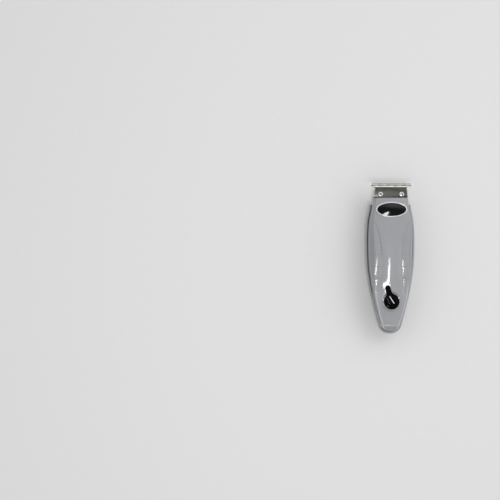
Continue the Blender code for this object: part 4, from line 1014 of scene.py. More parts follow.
@dataclass(frozen=True)
class LeverSeat:
    """Where the on/off lever turns, and the shallow dish that it sweeps over."""

    centre_y: float = -42.5
    disc: float = 7.7
    reach: float = 16.6
    arm_half: float = 2.65
    swing: float = math.radians(14.5)
    web: float = 2.0
    seat_z: float = 33.0
    seat_wall: Plan = (0.3, 2.2)
    gap: float = 0.2
    slope: float = 4.0
    flat_y: float = -26.3
    flat_half: float = 4.2
    flat_slope: float = 0.077

    def distance(self, x: float, y: float, low: float, high: float, web: float) -> float:
        """Return the distance to the lever's plan, less than 0 inside it.

        Args:
            x: The place across.
            y: The place along.
            low: The lever's lean at one end of its sweep, positive to the right.
            high: The lean at the other end.
            web: How wide the fillet between disc and arm is.

        Returns:
            The distance in plan.
        """
        along = y - self.centre_y
        disc_gap = math.hypot(x, along) - self.disc
        lean = min(max(math.atan2(x, along), low), high)
        sine, cosine = math.sin(lean), math.cos(lean)
        reach = min(max(x * sine + along * cosine, 0.0), self.reach - self.arm_half)
        arm_gap = math.hypot(x - reach * sine, along - reach * cosine) - self.arm_half
        near = max(web - abs(disc_gap - arm_gap), 0.0) / web
        return min(disc_gap, arm_gap) - near * near * web / 4.0

    def flattened(self, x: float, y: float) -> float:
        """Return how far the crown is drawn down so that it is plain beside the lever's tip.

        Args:
            x: The place across.
            y: The place along.

        Returns:
            The drop, less than 0 where the plain side stands out.
        """
        line, _, _ = BODY.lines(y)
        along = (y - self.flat_y) / self.flat_half
        window = math.exp(-along * along) * (1.0 - ramp(abs(x), line - 2.0, line))
        plain = self.flat_slope * (math.hypot(x, 1.0) - 1.0)
        return window * (plain - BODY.grip_fall.at(y) * (x / line) ** 2)

    def floor(self, x: float, y: float, skin: float) -> float:
        """Return the height of the front shell with the dish in it.

        Args:
            x: The place across.
            y: The place along.
            skin: The height of the shell without the dish.

        Returns:
            The new height.
        """
        gap = self.distance(x, y, -self.swing, self.swing, self.web)
        if gap > self.gap + self.slope:
            return skin
        outside = math.hypot(x, y - self.centre_y) - self.disc
        base = self.seat_z + (skin - self.seat_z) * ramp(outside, *self.seat_wall)
        return base + (skin - base) * ramp(gap, self.gap, self.gap + self.slope)


SEAT = LeverSeat()


@dataclass(frozen=True)
class Relief:
    """What a place of the front skin has besides its plain shape."""

    drop: float
    push: float
    painted_shade: float
    grip: float
    painted_highlight: float


@dataclass
class FrontShell:
    """The front shell: three long lobes, stepped grips beside them, the badge seat and the lever's dish."""

    steps: tuple[float, ...] = (15.5, 4.0, -8.0, -20.0, -31.5)
    step_heights: tuple[float, ...] = (0.06, 0.24, 0.42, 0.42, 0.22)
    step_length: float = 12.0
    step_face: float = 0.22
    ledge: float = 0.4
    ledge_half: float = 0.25
    ridge: float = 0.22
    ridge_half: float = 0.8
    bead: float = 0.1
    badge_seat: float = 0.9
    edge: float = 0.4
    head_edge: float = 0.8
    # painted shade: how dark the head edge and the flank's foot are painted
    head_edge_shade: float = 1.8
    head_shade: Plan = (0.85, 0.4)
    flank_shade: float = 0.6
    grip_rise: Plan = (-0.1, 0.8)
    grip_start: Plan = (42.0, 34.0)
    grip_end: Plan = (-36.0, -46.0)
    ledge_start: Plan = (42.0, 37.0)
    ledge_dim: Plan = (6.0, -2.0)
    ledge_end: Plan = (-26.0, -34.0)
    ledge_shade: float = 0.65
    thinning: float = 0.65
    thin_width: float = 5.0
    seam_shade: float = 0.5
    seam_end: Plan = (14.0, 18.0)
    highlight_start: Plan = (-22.0, -34.0)
    bend_half: float = 0.5
    bend_highlight: float = 0.8
    bend_margin: float = 1.5
    seam_shift: float = 0.6
    flank_margin: float = 1.0
    flank_least: float = 0.5
    fade_least: float = 1.0
    flat_limit: float = 0.5
    bend_rows: Sequence[float] = (-0.8, -0.5, -0.25, 0.0, 0.25, 0.5, 0.8)
    step_rows: Sequence[float] = (-2.5, -1.6, -1.0, -0.5, 0.0, 0.5, 1.0)
    head_bends: int = 5
    spindle_hole: float = 2.3
    spindle_span: Plan = (26.0, 40.0)
    pitch: float = 0.6
    columns: int = 60

    def scale(self, y: float) -> float:
        """Return how far a grip scale stands up at a place along Y, highest just below its upper edge.

        Args:
            y: The place along Y.

        Returns:
            The scale's height there.
        """
        for upper, height in zip(self.steps, self.step_heights):
            if upper - self.step_length < y <= upper + self.step_face:
                share = max(upper - y, 0.0) / self.step_length
                return height * (1.0 - share**3) * ramp(y, upper + self.step_face, upper - self.step_face)
        return 0.0

    def relief(self, x: float, y: float) -> Relief:
        """Return the grip scales and ledges at a place, and the painted shade and painted highlight there.

        Args:
            x: The place across.
            y: The place along.

        Returns:
            The relief there.
        """
        across = abs(x)
        line = BODY.grip_line.at(y)
        _, crest, half = BODY.lines(y)
        inside = ramp(across, *(line + shift for shift in self.grip_rise))
        window = inside * (1.0 - self.thinning * ramp(across, half - self.thin_width, half))
        depth = ramp(y, *self.ledge_start) * (1.0 - self.thinning * ramp(y, *self.ledge_dim))
        depth *= 1.0 - ramp(y, *self.ledge_end)
        width = (across - line) / self.ledge_half
        seams = (math.exp(-(((y - upper) / self.step_face - self.seam_shift) ** 2)) for upper in self.steps)
        seam = self.seam_shade * sum(seams)
        grip = inside * ramp(y, *self.grip_start) * (1.0 - ramp(y, *self.grip_end))
        # painted shade: darker along the ledge of the grip line, along the step lines, at the head edge and
        # towards the flank's foot, where less light falls
        painted_shade = self.ledge_shade * depth * math.exp(-width * width)
        painted_shade += seam * window * (1.0 - ramp(across, *self.seam_end))
        painted_shade += self.head_edge_shade * ramp(y, *(BODY.head_y - margin for margin in self.head_shade))
        foot = max(half - self.flank_margin, crest + self.flank_least)
        painted_shade += self.flank_shade * ramp(across, crest, foot)
        fade = 1.0 - ramp(across, line, max(crest, line + self.fade_least))
        below = ramp(across, line - self.ledge_half, line + self.ledge_half) * fade
        edge = (across - crest) / self.ridge_half
        turn = (y - BODY.chamfer_y) / self.bend_half
        # the ridge mask raises the ridge and gives it a painted highlight; the chamfer line mask below does
        # the same at the tail
        lightened = math.exp(-edge * edge) * ramp(y, *self.highlight_start)
        bent = math.exp(-turn * turn) * (1.0 - ramp(across, crest - self.bend_margin, crest))
        drop = self.ledge * depth * below - self.ridge * lightened - self.bead * bent
        return Relief(drop, self.scale(y) * window, painted_shade, grip, max(lightened, self.bend_highlight * bent))

    def outer(self) -> tuple[list[list[Point]], dict[str, list[float]]]:
        """Make the outer skin and, point by point, its painted shade, its grips and its painted highlights.

        Returns:
            The sections, and the values of each mark by its name.
        """
        extra = [BODY.chamfer_y + shift for shift in self.bend_rows]
        for upper in self.steps:
            extra += [upper + self.step_face * share for share in self.step_rows]
        bends = self.head_bends
        places = BODY.rows(Half.FRONT, 0.0, self.pitch, extra)
        plain = [y for y in places if y < BODY.head_y - self.head_edge]
        rows = []
        for index in range(bends + 1):
            angle = math.pi / 2.0 * (1.0 - index / bends)
            inset = self.head_edge * (1.0 - math.cos(angle))
            rows.append((BODY.head_y - self.head_edge * (1.0 - math.sin(angle)), inset))
        rows += [(y, 0.0) for y in plain]
        skin: list[list[Point]] = []
        values: dict[str, list[float]] = {"painted_shade": [], "grip": [], "painted_highlight": []}
        for y, inset in rows:
            points = BODY.front_section(y, inset, self.columns, self.edge)
            last = len(points) - 1
            moved = []
            for index, point in enumerate(points):
                relief = self.relief(point[0], y)
                before, after = Vector(points[max(index - 1, 0)]), Vector(points[min(index + 1, last)])
                moved.append(self.shifted(point, (after - before).normalized(), relief))
                values["painted_shade"].append(relief.painted_shade)
                values["grip"].append(relief.grip)
                values["painted_highlight"].append(relief.painted_highlight)
            skin.append(moved)
        return skin, values

    def shifted(self, point: Point, way: Vector, relief: Relief) -> Point:
        """Return a point of the plain skin moved by the relief, the badge's seat and the lever's dish.

        Args:
            point: The point on the plain skin.
            way: The direction of the section there, from right to left.
            relief: The relief there.

        Returns:
            The moved point.
        """
        x, y, z = point
        lean, lift = way.z, -way.x
        height = z + (relief.push - relief.drop) * lift
        if lift > self.flat_limit:
            height -= SEAT.flattened(x, y)
            height = SEAT.floor(x, y, height)
            height -= self.badge_seat * BADGE.seat(x, y)
        return (x + relief.push * lean, y, height)

    def build(self) -> None:
        """Make the shell, open it for the tongue and the spindle, and dress it."""
        skin, values = self.outer()
        wall = ShellSkin(Half.FRONT, skin).solid
        for label, shares in values.items():
            wall.values[label] = shares + [0.0] * (len(wall.points) - len(shares))
        shell = wall.mesh("front_skin")
        opening = Solid()
        opening.block(BODY.slot_half, BODY.slot_reach, BODY.slot_heights)
        opening.cylinder(self.spindle_hole, self.spindle_span, (0.0, SEAT.centre_y, 0.0), HOLE_FACETS)
        Workshop.cut(shell, opening.mesh("front_openings"))
        Workshop.dress(shell, Finishes.SHELL, "housing", "shell_grey", ["front_shell"])


@dataclass
class RearShell:
    """The rear shell with its raised rim, its screw wells and the hole for the charging jack."""

    screw_places: tuple[Plan, ...] = ((-14.35, 46.0), (14.35, 46.0), (-11.7, -36.0), (11.7, -36.0))
    screw_bore: float = 2.5
    screw_sink: float = 4.0
    screw_span: Plan = (-5.0, 15.0)
    well_wall: float = 1.2
    lip_width: float = 2.0
    lip_rise: float = 0.95
    lip_round: tuple[Plan, ...] = ((0.0, 0.5), (0.15, 0.15), (0.45, 0.0))
    lip_rows: int = 90
    lip_bends: int = 26
    lip_gap: float = 0.2
    lip_sink: float = 0.1
    rim_row: float = 0.5
    well_low: float = 1.2
    well_high: float = 1.5
    shade_level: float = 2.0
    shade_edges: Plan = (0.4, 0.1)
    shade_heights: Plan = (0.1, 0.2)
    channel_above: float = 0.5
    channel_floor: float = 15.0
    jack_z: float = 13.3
    jack_hole: float = 2.6
    jack_span: Plan = (-80.0, -69.0)
    pitch: float = 1.0
    columns: int = 150

    def lip_contour(self, inset: float) -> list[Plan]:
        """Return the plan of the rim from right to left round the tail, moved in by an inset.

        Args:
            inset: How far the plan lies inside the rim.

        Returns:
            The plan's points.
        """
        start = BODY.tail_y + BODY.round_length
        top = BODY.rim_top_y
        count = self.lip_rows
        places = [top - self.lip_gap + (start - top) * index / count for index in range(count + 1)]
        end = BODY.tail_y + inset
        for index in range(1, self.lip_bends + 1):
            places.append(start + (end - start) * math.sin(math.pi / 2.0 * index / self.lip_bends))
        right = []
        for y in places:
            width = BODY.rim.at(y) - inset
            if y < start:
                share = min((start - y) / (start - end), 1.0)
                width *= (1.0 - share**BODY.round_power) ** (1.0 / BODY.round_power)
            right.append((width, y))
        return right + [(-x, y) for x, y in reversed(right[:-1])]

    def build_lip(self) -> None:
        """Make the rounded lip that stands up along the rim."""
        foot = BODY.parting_z - self.lip_sink
        top = BODY.parting_z + self.lip_rise
        wide = self.lip_width
        outside = [(inset, top - fall) for inset, fall in self.lip_round]
        inside = [(wide - inset, top - fall) for inset, fall in reversed(self.lip_round)]
        layers = [(0.0, foot), *outside, *inside, (wide, foot)]
        contours = [[(x, y, z) for x, y in self.lip_contour(inset)] for inset, z in layers]
        lip = Solid()
        lip.loft(list(zip(*contours)))
        # the lip takes the lighter grey, a painted highlight
        Workshop.dress(lip.mesh("rim_lip", SOFT_CREASE), Finishes.LIT_RIM, "housing", "shell_grey")

    def channel_shade(self, x: float, y: float, z: float) -> float:
        """Return how much painted shade a place of the rear shell has: 2 in the channel, else 0.

        Args:
            x: The place across.
            y: The place along Y.
            z: The height.

        Returns:
            The amount of dust.
        """
        inner_edge, outer_edge = self.shade_edges
        below, above = self.shade_heights
        inner = BODY.half_width(Half.FRONT, y) - inner_edge if y > BODY.front_tail_y else 0.0
        deep = self.channel_floor - below < z < BODY.parting_z - above
        outer = BODY.half_width(Half.REAR, y) - self.lip_width + outer_edge
        return self.shade_level if deep and inner < abs(x) < outer else 0.0

    def channel(self) -> Solid:
        """Make the cutter of the dark channel between the lip and the front shell.

        Returns:
            The cutter.
        """
        high = BODY.parting_z + self.channel_above
        layers = ((self.lip_width, high), (BODY.rim_step, high))
        layers += ((BODY.rim_step, self.channel_floor), (self.lip_width, self.channel_floor))
        contours = [[(x, y, z) for x, y in self.lip_contour(inset)] for inset, z in layers]
        cutter = Solid()
        cutter.loft(list(zip(*contours)))
        return cutter

    def build(self) -> None:
        """Make the shell, its rim and its screw wells."""
        rows = BODY.rows(Half.REAR, 0.0, self.pitch, (BODY.rim_top_y + self.rim_row, BODY.rim_top_y))
        skin = [BODY.rear_section(y, 0.0, self.columns) for y in rows]
        shell = ShellSkin(Half.REAR, skin).solid.mesh("rear_skin")
        holes = Solid()
        wells = Solid()
        for x, y in self.screw_places:
            bottom = BODY.bottom(x, y)
            holes.cylinder(self.screw_bore, self.screw_span, (x, y, 0.0), WELL_FACETS)
            inner, outer = self.screw_bore, self.screw_bore + self.well_wall
            low, high = bottom + self.well_low, bottom + self.screw_sink + self.well_high
            profile = ((inner, low), (outer, low), (outer, high), (inner, high), (inner, low))
            wells.turned(profile, (x, y, 0.0), WELL_FACETS)
        holes.block(BODY.slot_half, BODY.slot_reach, BODY.slot_heights)
        holes.cylinder(self.jack_hole, self.jack_span, (0.0, 0.0, self.jack_z), WELL_FACETS, Axis.ALONG_Y)
        Workshop.cut(shell, holes.mesh("rear_openings"), self.channel().mesh("rim_channel"))
        # painted shade in the channel between the lip and the front shell
        Workshop.paint(shell, "painted_shade", self.channel_shade)
        Workshop.dress(shell, Finishes.SHELL, "housing", "shell_grey", ["rear_shell"])
        Workshop.dress(wells.mesh("screw_wells"), Finishes.SHELL, "housing", "shell_grey")
        self.build_lip()


@dataclass(frozen=True)
class Badge:
    """The oval badge: a polished black dome in a bright ring, bare of lettering."""

    centre_y: float = 48.5
    half_length: float = 14.3
    half_width: float = 6.45
    ring_width: float = 1.15
    sink: float = 0.6
    rise: float = 0.25
    dome: float = 1.35
    blunt: float = 0.3
    fall: float = 0.5
    tilt: float = 0.31
    skirt: float = 0.2
    dome_shares: Sequence[float] = (0.985, 0.96, 0.9, 0.82, 0.72, 0.6, 0.46, 0.32, 0.18, 0.08, 0.01)
    ring_profile: Sequence[Plan] = (
        (0.0, -2.0), (0.0, 0.3), (0.12, 0.5), (0.35, 0.6),
        (0.62, 0.58), (0.86, 0.42), (1.0, 0.15), (1.0, -2.0),
    )
    facets: int = 128

    def seat(self, x: float, y: float) -> float:
        """Return how much of the badge's seat a place has: 1 under the dome and 0 past the ring.

        Args:
            x: The place across.
            y: The place along Y.

        Returns:
            The share of the seat.
        """
        margin = self.ring_width / 2.0
        reach = math.hypot(x / (self.half_length + margin), (y - self.centre_y) / (self.half_width + margin))
        return 1.0 - ramp(reach, 0.94, 1.03)

    def place(self, angle: float, grow: float, share: float, lift: float) -> Point:
        """Return a point of the badge over the crown.

        Args:
            angle: The angle round the badge.
            grow: The margin that the ellipse is grown by.
            share: What share of the ellipse's reach is kept.
            lift: The height above the seat.

        Returns:
            The point.
        """
        x = (self.half_length + grow) * share * math.cos(angle)
        y = self.centre_y + (self.half_width + grow) * share * math.sin(angle)
        level = BODY.top(0.0, y) - self.fall * (x / self.half_length) ** 2
        level += self.tilt * (1.0 + (y - self.centre_y) / self.half_width)
        return (x, y, max(BODY.top(x, y), level) + lift)

    def layer(self, grow: float, share: float, lift: float) -> list[Point]:
        """Return one ring of points round the badge."""
        return [self.place(math.tau * index / self.facets, grow, share, lift) for index in range(self.facets)]

    def build(self) -> None:
        """Make the dome and the ring."""
        plate = Solid()
        skirt = ((self.dome_shares[-1], -self.sink), (1.0, -self.sink), (1.0, self.rise - self.skirt))
        rings = [self.layer(0.0, share, lift) for share, lift in skirt]
        for share in self.dome_shares:
            bulge = math.hypot(1.0, self.blunt) - math.hypot(share, self.blunt)
            rings.append(self.layer(0.0, share, self.rise + self.dome * bulge))
        plate.loft(rings)
        dome = plate.mesh("badge_dome", SOFT_CREASE)
        Workshop.dress(dome, Finishes.BADGE, "housing", "badge_black", ["nameplate"])
        bezel = Solid()
        layers = [self.layer(share * self.ring_width, 1.0, lift) for share, lift in self.ring_profile]
        bezel.loft(layers, closed_path=True)
        ring = bezel.mesh("badge_ring", RING_CREASE)
        Workshop.dress(ring, Finishes.BEZEL, "housing", "bright_steel", ["nameplate_bezel"])


BADGE = Badge()


@dataclass
class CrossScrew:
    """A pan-head screw with a cross recess."""

    head: float
    height: float
    shank: float
    upright: bool = True
    facets: int = 48
    slot_half: float = 0.32
    slot_reach: float = 0.56
    slot_floor: float = 0.45
    slot_above: float = 1.0
    tip_share: float = 0.6
    seat_share: float = 0.96
    rim: float = 0.12
    wall_share: float = 0.42
    dome_share: float = 0.58
    dome_shares: Sequence[float] = (0.97, 0.9, 0.78, 0.6, 0.4, 0.2)

    def build(self, name: str, place: Plan, seat: float, tip: float) -> bpy.types.Object:
        """Make the screw.

        Args:
            name: The piece's name.
            place: Where the screw stands in plan.
            seat: The height that its head sits on.
            tip: The height of its tip.

        Returns:
            The screw, not yet dressed.
        """
        way = 1.0 if self.upright else -1.0
        wide, thin = self.head / 2.0, self.shank / 2.0
        profile = [(0.0, tip), (thin * self.tip_share, tip), (thin, tip + way * thin), (thin, seat)]
        profile += [(wide * self.seat_share, seat), (wide, seat + way * self.rim)]
        profile.append((wide, seat + way * self.height * self.wall_share))
        for share in self.dome_shares:
            rise = self.height * (self.wall_share + self.dome_share * math.sqrt(1.0 - share**3))
            profile.append((wide * share, seat + way * rise))
        profile.append((0.0, seat + way * self.height))
        body = Solid()
        body.turned(profile, (*place, 0.0), self.facets)
        screw = body.mesh(name)
        recess = Solid()
        reach, half = wide * self.slot_reach, self.slot_half
        corners = ((half, reach), (half, half), (reach, half))
        outline = []
        for turn in range(4):
            angle = math.pi / 2.0 * turn
            spin = Matrix.Rotation(-angle, 2)
            outline += [tuple(spin @ Vector(corner)) for corner in corners]
        floor = seat + way * self.height * self.slot_floor
        low, high = sorted((floor, seat + way * (self.height + self.slot_above)))
        recess.prism([(place[0] + x, place[1] + y) for x, y in outline], low, high)
        Workshop.cut(screw, recess.mesh(name + "_recess"))
        return screw


@dataclass
class BladeSet:
    """The nose block, the fixed blade with its two screws, and the cutter under it."""

    nose_half_front: float = 16.6
    nose_half_rear: float = 17.5
    nose_low: float = 15.0
    nose_high: float = 26.7
    nose_face_y: float = 60.8
    nose_front_y: float = 68.3
    nose_rear_y: float = 53.0
    tongue_half: float = 13.0
    channel_half: float = 6.8
    channel_floor: float = 24.0
    plate_low: float = 27.0
    plate_high: float = 29.0
    plate_rear_y: float = 60.95
    plate_half_rear: float = 16.3
    plate_half_front: float = 15.5
    tip_y: float = 75.0
    bar_y: float = 70.85
    root_y: float = 72.05
    bar_step: float = 0.3
    bar_half_rear: float = 17.3
    bar_half_front: float = 20.75
    bar_high: float = 29.8
    teeth: int = 32
    cutter_low: float = 25.2
    cutter_high: float = 26.7
    cutter_rear_y: float = 68.6
    cutter_root_y: float = 72.1
    cutter_tip_y: float = 74.4
    cutter_half_front: float = 18.6
    cutter_half_rear: float = 15.0
    cutter_teeth: int = 24
    stem_half: float = 5.0
    stem_rear_y: float = 47.0
    screw_x: float = 10.4
    screw_y: float = 63.6
    tooth_shares: Sequence[float] = (0.0, 0.55, 0.9, 1.0)
    tooth_bend: float = 0.9
    tip_narrow: float = 0.55
    tip_fall: float = 0.6
    shoulder: float = 0.72
    tooth_widths: Plan = (0.82, 0.34)
    tooth_drop: float = 0.25
    tooth_rise: float = 0.9
    tooth_margin: float = 0.45
    root_overlap: float = 0.3
    horn_shift: float = 0.1
    horn_widths: Plan = (1.4, 0.9)
    horn_drop: float = 0.1
    horn_rise: float = 1.2
    horn_crest: float = 0.85
    plate_overlap: float = 0.4
    plate_edge: float = 0.3
    nose_edge: float = 0.7
    crest_drop: float = 0.15
    crest_back: Plan = (0.1, 0.2)
    bar_lean: float = 0.05
    cutter_widths: Plan = (0.95, 0.4)
    cutter_drop: float = 0.2
    cutter_back: float = 0.4
    cutter_rise: float = 0.8
    cutter_margin: float = 0.5
    screw_hole: float = 1.8
    screw_head: float = 5.2
    screw_height: float = 1.7
    screw_shank: float = 3.0
    screw_seat: float = 29.3
    screw_tip: float = 22.0
    channel_reach: Plan = (50.0, 70.0)
    open_top: float = 28.0
    nose_hole_low: float = 21.7
    plate_hole_span: Plan = (25.0, 31.0)
    spring_hole: float = 1.2
    spring_hole_y: float = 56.1
    spring_hole_span: Plan = (14.0, 23.9)
    rivet_x: float = 2.8
    rivet_y: float = 49.0
    rivet_hole: float = 1.1
    rivet_span: Plan = (24.0, 28.0)
    stem_play: float = 0.02
    stem_overlap: float = 1.0

    def tooth(
        self, solid: Solid, x: float, roots: Plan, widths: Plan, low: float, heights: Plan,
        crest: float = 0.45,
    ) -> None:
        """Add one tapered tooth with a ridged top.

        Args:
            solid: The mesh that gets the tooth.
            x: The tooth's middle.
            roots: The places of its root and tip along Y.
            widths: Its width at the root and at the tip.
            low: The height of its flat under side.
            heights: The height of its ridge at the root and at the tip.
            crest: What share of its width the ridge has.
        """
        rings = []
        for share in self.tooth_shares:
            y = roots[0] + (roots[1] - roots[0]) * share
            half = (widths[0] + (widths[1] - widths[0]) * share) / 2.0
            top = heights[0] + (heights[1] - heights[0]) * share**self.tooth_bend
            if share == 1.0:
                half *= self.tip_narrow
                top = low + (top - low) * self.tip_fall
            shoulder = low + (top - low) * self.shoulder
            rings.append([
                (x - half, y, low), (x + half, y, low), (x + half, y, shoulder),
                (x + half * crest, y, top), (x - half * crest, y, top), (x - half, y, shoulder),
            ])
        solid.loft(rings)

    def bar(self, solid: Solid, section: Sequence[Plan], ends: tuple[Plan, Plan]) -> None:
        """Add a bar across the blade.

        Args:
            solid: The mesh that gets the bar.
            section: Its (Y, Z) section.
            ends: (Y, half width) at its rear and at its front.
        """
        (rear_y, rear_half), (front_y, front_half) = ends
        sides = []
        for side in (-1.0, 1.0):
            ring = []
            for y, z in section:
                half = rear_half + (front_half - rear_half) * (y - rear_y) / (front_y - rear_y)
                ring.append((side * half, y, z))
            sides.append(ring)
        solid.loft(sides)

    def screw_holes(self, span: Plan) -> Solid:
        """Make the two holes for the blade screws.

        Args:
            span: The heights that they run between.

        Returns:
            The cutter of both holes.
        """
        holes = Solid()
        for x in (-self.screw_x, self.screw_x):
            holes.cylinder(self.screw_hole, span, (x, self.screw_y, 0.0), HOLE_FACETS)
        return holes

    def build_nose(self) -> None:
        """Make the nose block with rounded shoulders, its tongue and the channel for the cutter."""
        right = [
            (self.tongue_half, self.nose_rear_y), (self.tongue_half, self.nose_face_y),
            (self.nose_half_rear, self.nose_face_y), (self.nose_half_front, self.nose_front_y),
        ]
        block = Solid()
        block.prism(right + [(-x, y) for x, y in reversed(right)], self.nose_low, self.nose_high)
        nose = block.mesh("nose_carrier")
        Workshop.bevel(nose, self.nose_edge, 5)
        cutter = self.screw_holes((self.nose_hole_low, self.open_top))
        cutter.block(self.channel_half, self.channel_reach, (self.channel_floor, self.open_top))
        cutter.cylinder(self.spring_hole, self.spring_hole_span, (0.0, self.spring_hole_y, 0.0), SMALL_FACETS)
        Workshop.cut(nose, cutter.mesh("nose_openings"))
        Workshop.dress(nose, Finishes.NOSE, "housing", "nose_silver", ["nose_block"])

    def build_fixed(self) -> None:
        """Make the fixed blade: the dark neck plate and the bright toothed bar."""
        plate = Solid()
        front_y = self.bar_y + self.plate_overlap
        plate.prism((
            (-self.plate_half_rear, self.plate_rear_y), (self.plate_half_rear, self.plate_rear_y),
            (self.plate_half_front, front_y), (-self.plate_half_front, front_y),
        ), self.plate_low, self.plate_high)
        neck = plate.mesh("neck_plate")
        Workshop.bevel(neck, self.plate_edge)
        Workshop.cut(neck, self.screw_holes(self.plate_hole_span).mesh("plate_holes"))
        Workshop.dress(neck, Finishes.PLATE, "housing", "blade_steel", ["fixed_blade"])
        comb = Solid()
        low, high = self.plate_low, self.bar_high
        section = (
            (self.bar_y, low), (self.root_y, low), (self.root_y, high - self.crest_drop),
            *((self.root_y - back, high) for back in self.crest_back),
            (self.bar_y + self.bar_lean, self.plate_high + self.bar_step),
        )
        self.bar(comb, section, ((self.bar_y, self.bar_half_rear), (self.tip_y, self.bar_half_front)))
        # the bar and its ends take the pale cream steel, a painted reflection
        Workshop.dress(comb.mesh("tooth_bar"), Finishes.SHEEN_BAR, "housing", "blade_steel")
        row = Solid()
        horns = Solid()
        front = self.bar_half_front - self.tooth_margin
        roots = (self.root_y - self.root_overlap, self.tip_y)
        horn_heights = (high - self.horn_drop, low + self.horn_rise)
        heights = (high - self.tooth_drop, low + self.tooth_rise)
        for index in range(self.teeth):
            x = front * (2.0 * index / (self.teeth - 1) - 1.0)
            if index in (0, self.teeth - 1):
                x -= math.copysign(self.horn_shift, x)
                self.tooth(horns, x, roots, self.horn_widths, low, horn_heights, self.horn_crest)
            else:
                self.tooth(row, x, roots, self.tooth_widths, low, heights)
        Workshop.dress(row.mesh("tooth_row"), Finishes.TOOTH, "housing", "blade_steel")
        Workshop.dress(horns.mesh("tooth_bar_ends"), Finishes.SHEEN_BAR, "housing", "blade_steel")

    def build_cutter(self) -> None:
        """Make the moving cutter: a toothed bar on a flat stem."""
        stem = Solid()
        low, high = self.cutter_low, self.cutter_high
        reach = (self.stem_rear_y, self.cutter_rear_y + self.stem_overlap)
        stem.block(self.stem_half, reach, (low + self.stem_play, high - self.stem_play))
        section = (
            (self.cutter_rear_y, low), (self.cutter_root_y, low),
            (self.cutter_root_y, high - self.cutter_drop), (self.cutter_root_y - self.cutter_back, high),
            (self.cutter_rear_y, high),
        )
        ends = ((self.cutter_rear_y, self.cutter_half_rear), (self.cutter_tip_y, self.cutter_half_front))
        self.bar(stem, section, ends)
        front = self.cutter_half_front - self.cutter_margin
        roots = (self.cutter_root_y - self.root_overlap, self.cutter_tip_y)
        heights = (high - self.cutter_drop, low + self.cutter_rise)
        for index in range(self.cutter_teeth):
            x = front * (2.0 * index / (self.cutter_teeth - 1) - 1.0)
            self.tooth(stem, x, roots, self.cutter_widths, low, heights)
        cutter = stem.mesh("cutter_comb")
        holes = Solid()
        for x in (-self.rivet_x, self.rivet_x):
            holes.cylinder(self.rivet_hole, self.rivet_span, (x, self.rivet_y, 0.0), SMALL_FACETS)
        Workshop.cut(cutter, holes.mesh("rivet_openings"))
        Workshop.dress(cutter, Finishes.TOOTH, "cutter", "blade_steel", ["moving_blade"])

    def build(self) -> None:
        """Make the nose, the blades and the two blade screws."""
        self.build_nose()
        self.build_fixed()
        self.build_cutter()
        for side, x in (("left", -self.screw_x), ("right", self.screw_x)):
            pattern = CrossScrew(self.screw_head, self.screw_height, self.screw_shank)
            place = (x, self.screw_y)
            screw = pattern.build(f"neck_screw_{side}", place, self.screw_seat, self.screw_tip)
            Workshop.dress(screw, Finishes.SCREW, "housing", "bright_steel", [f"blade_screw_{side}"])


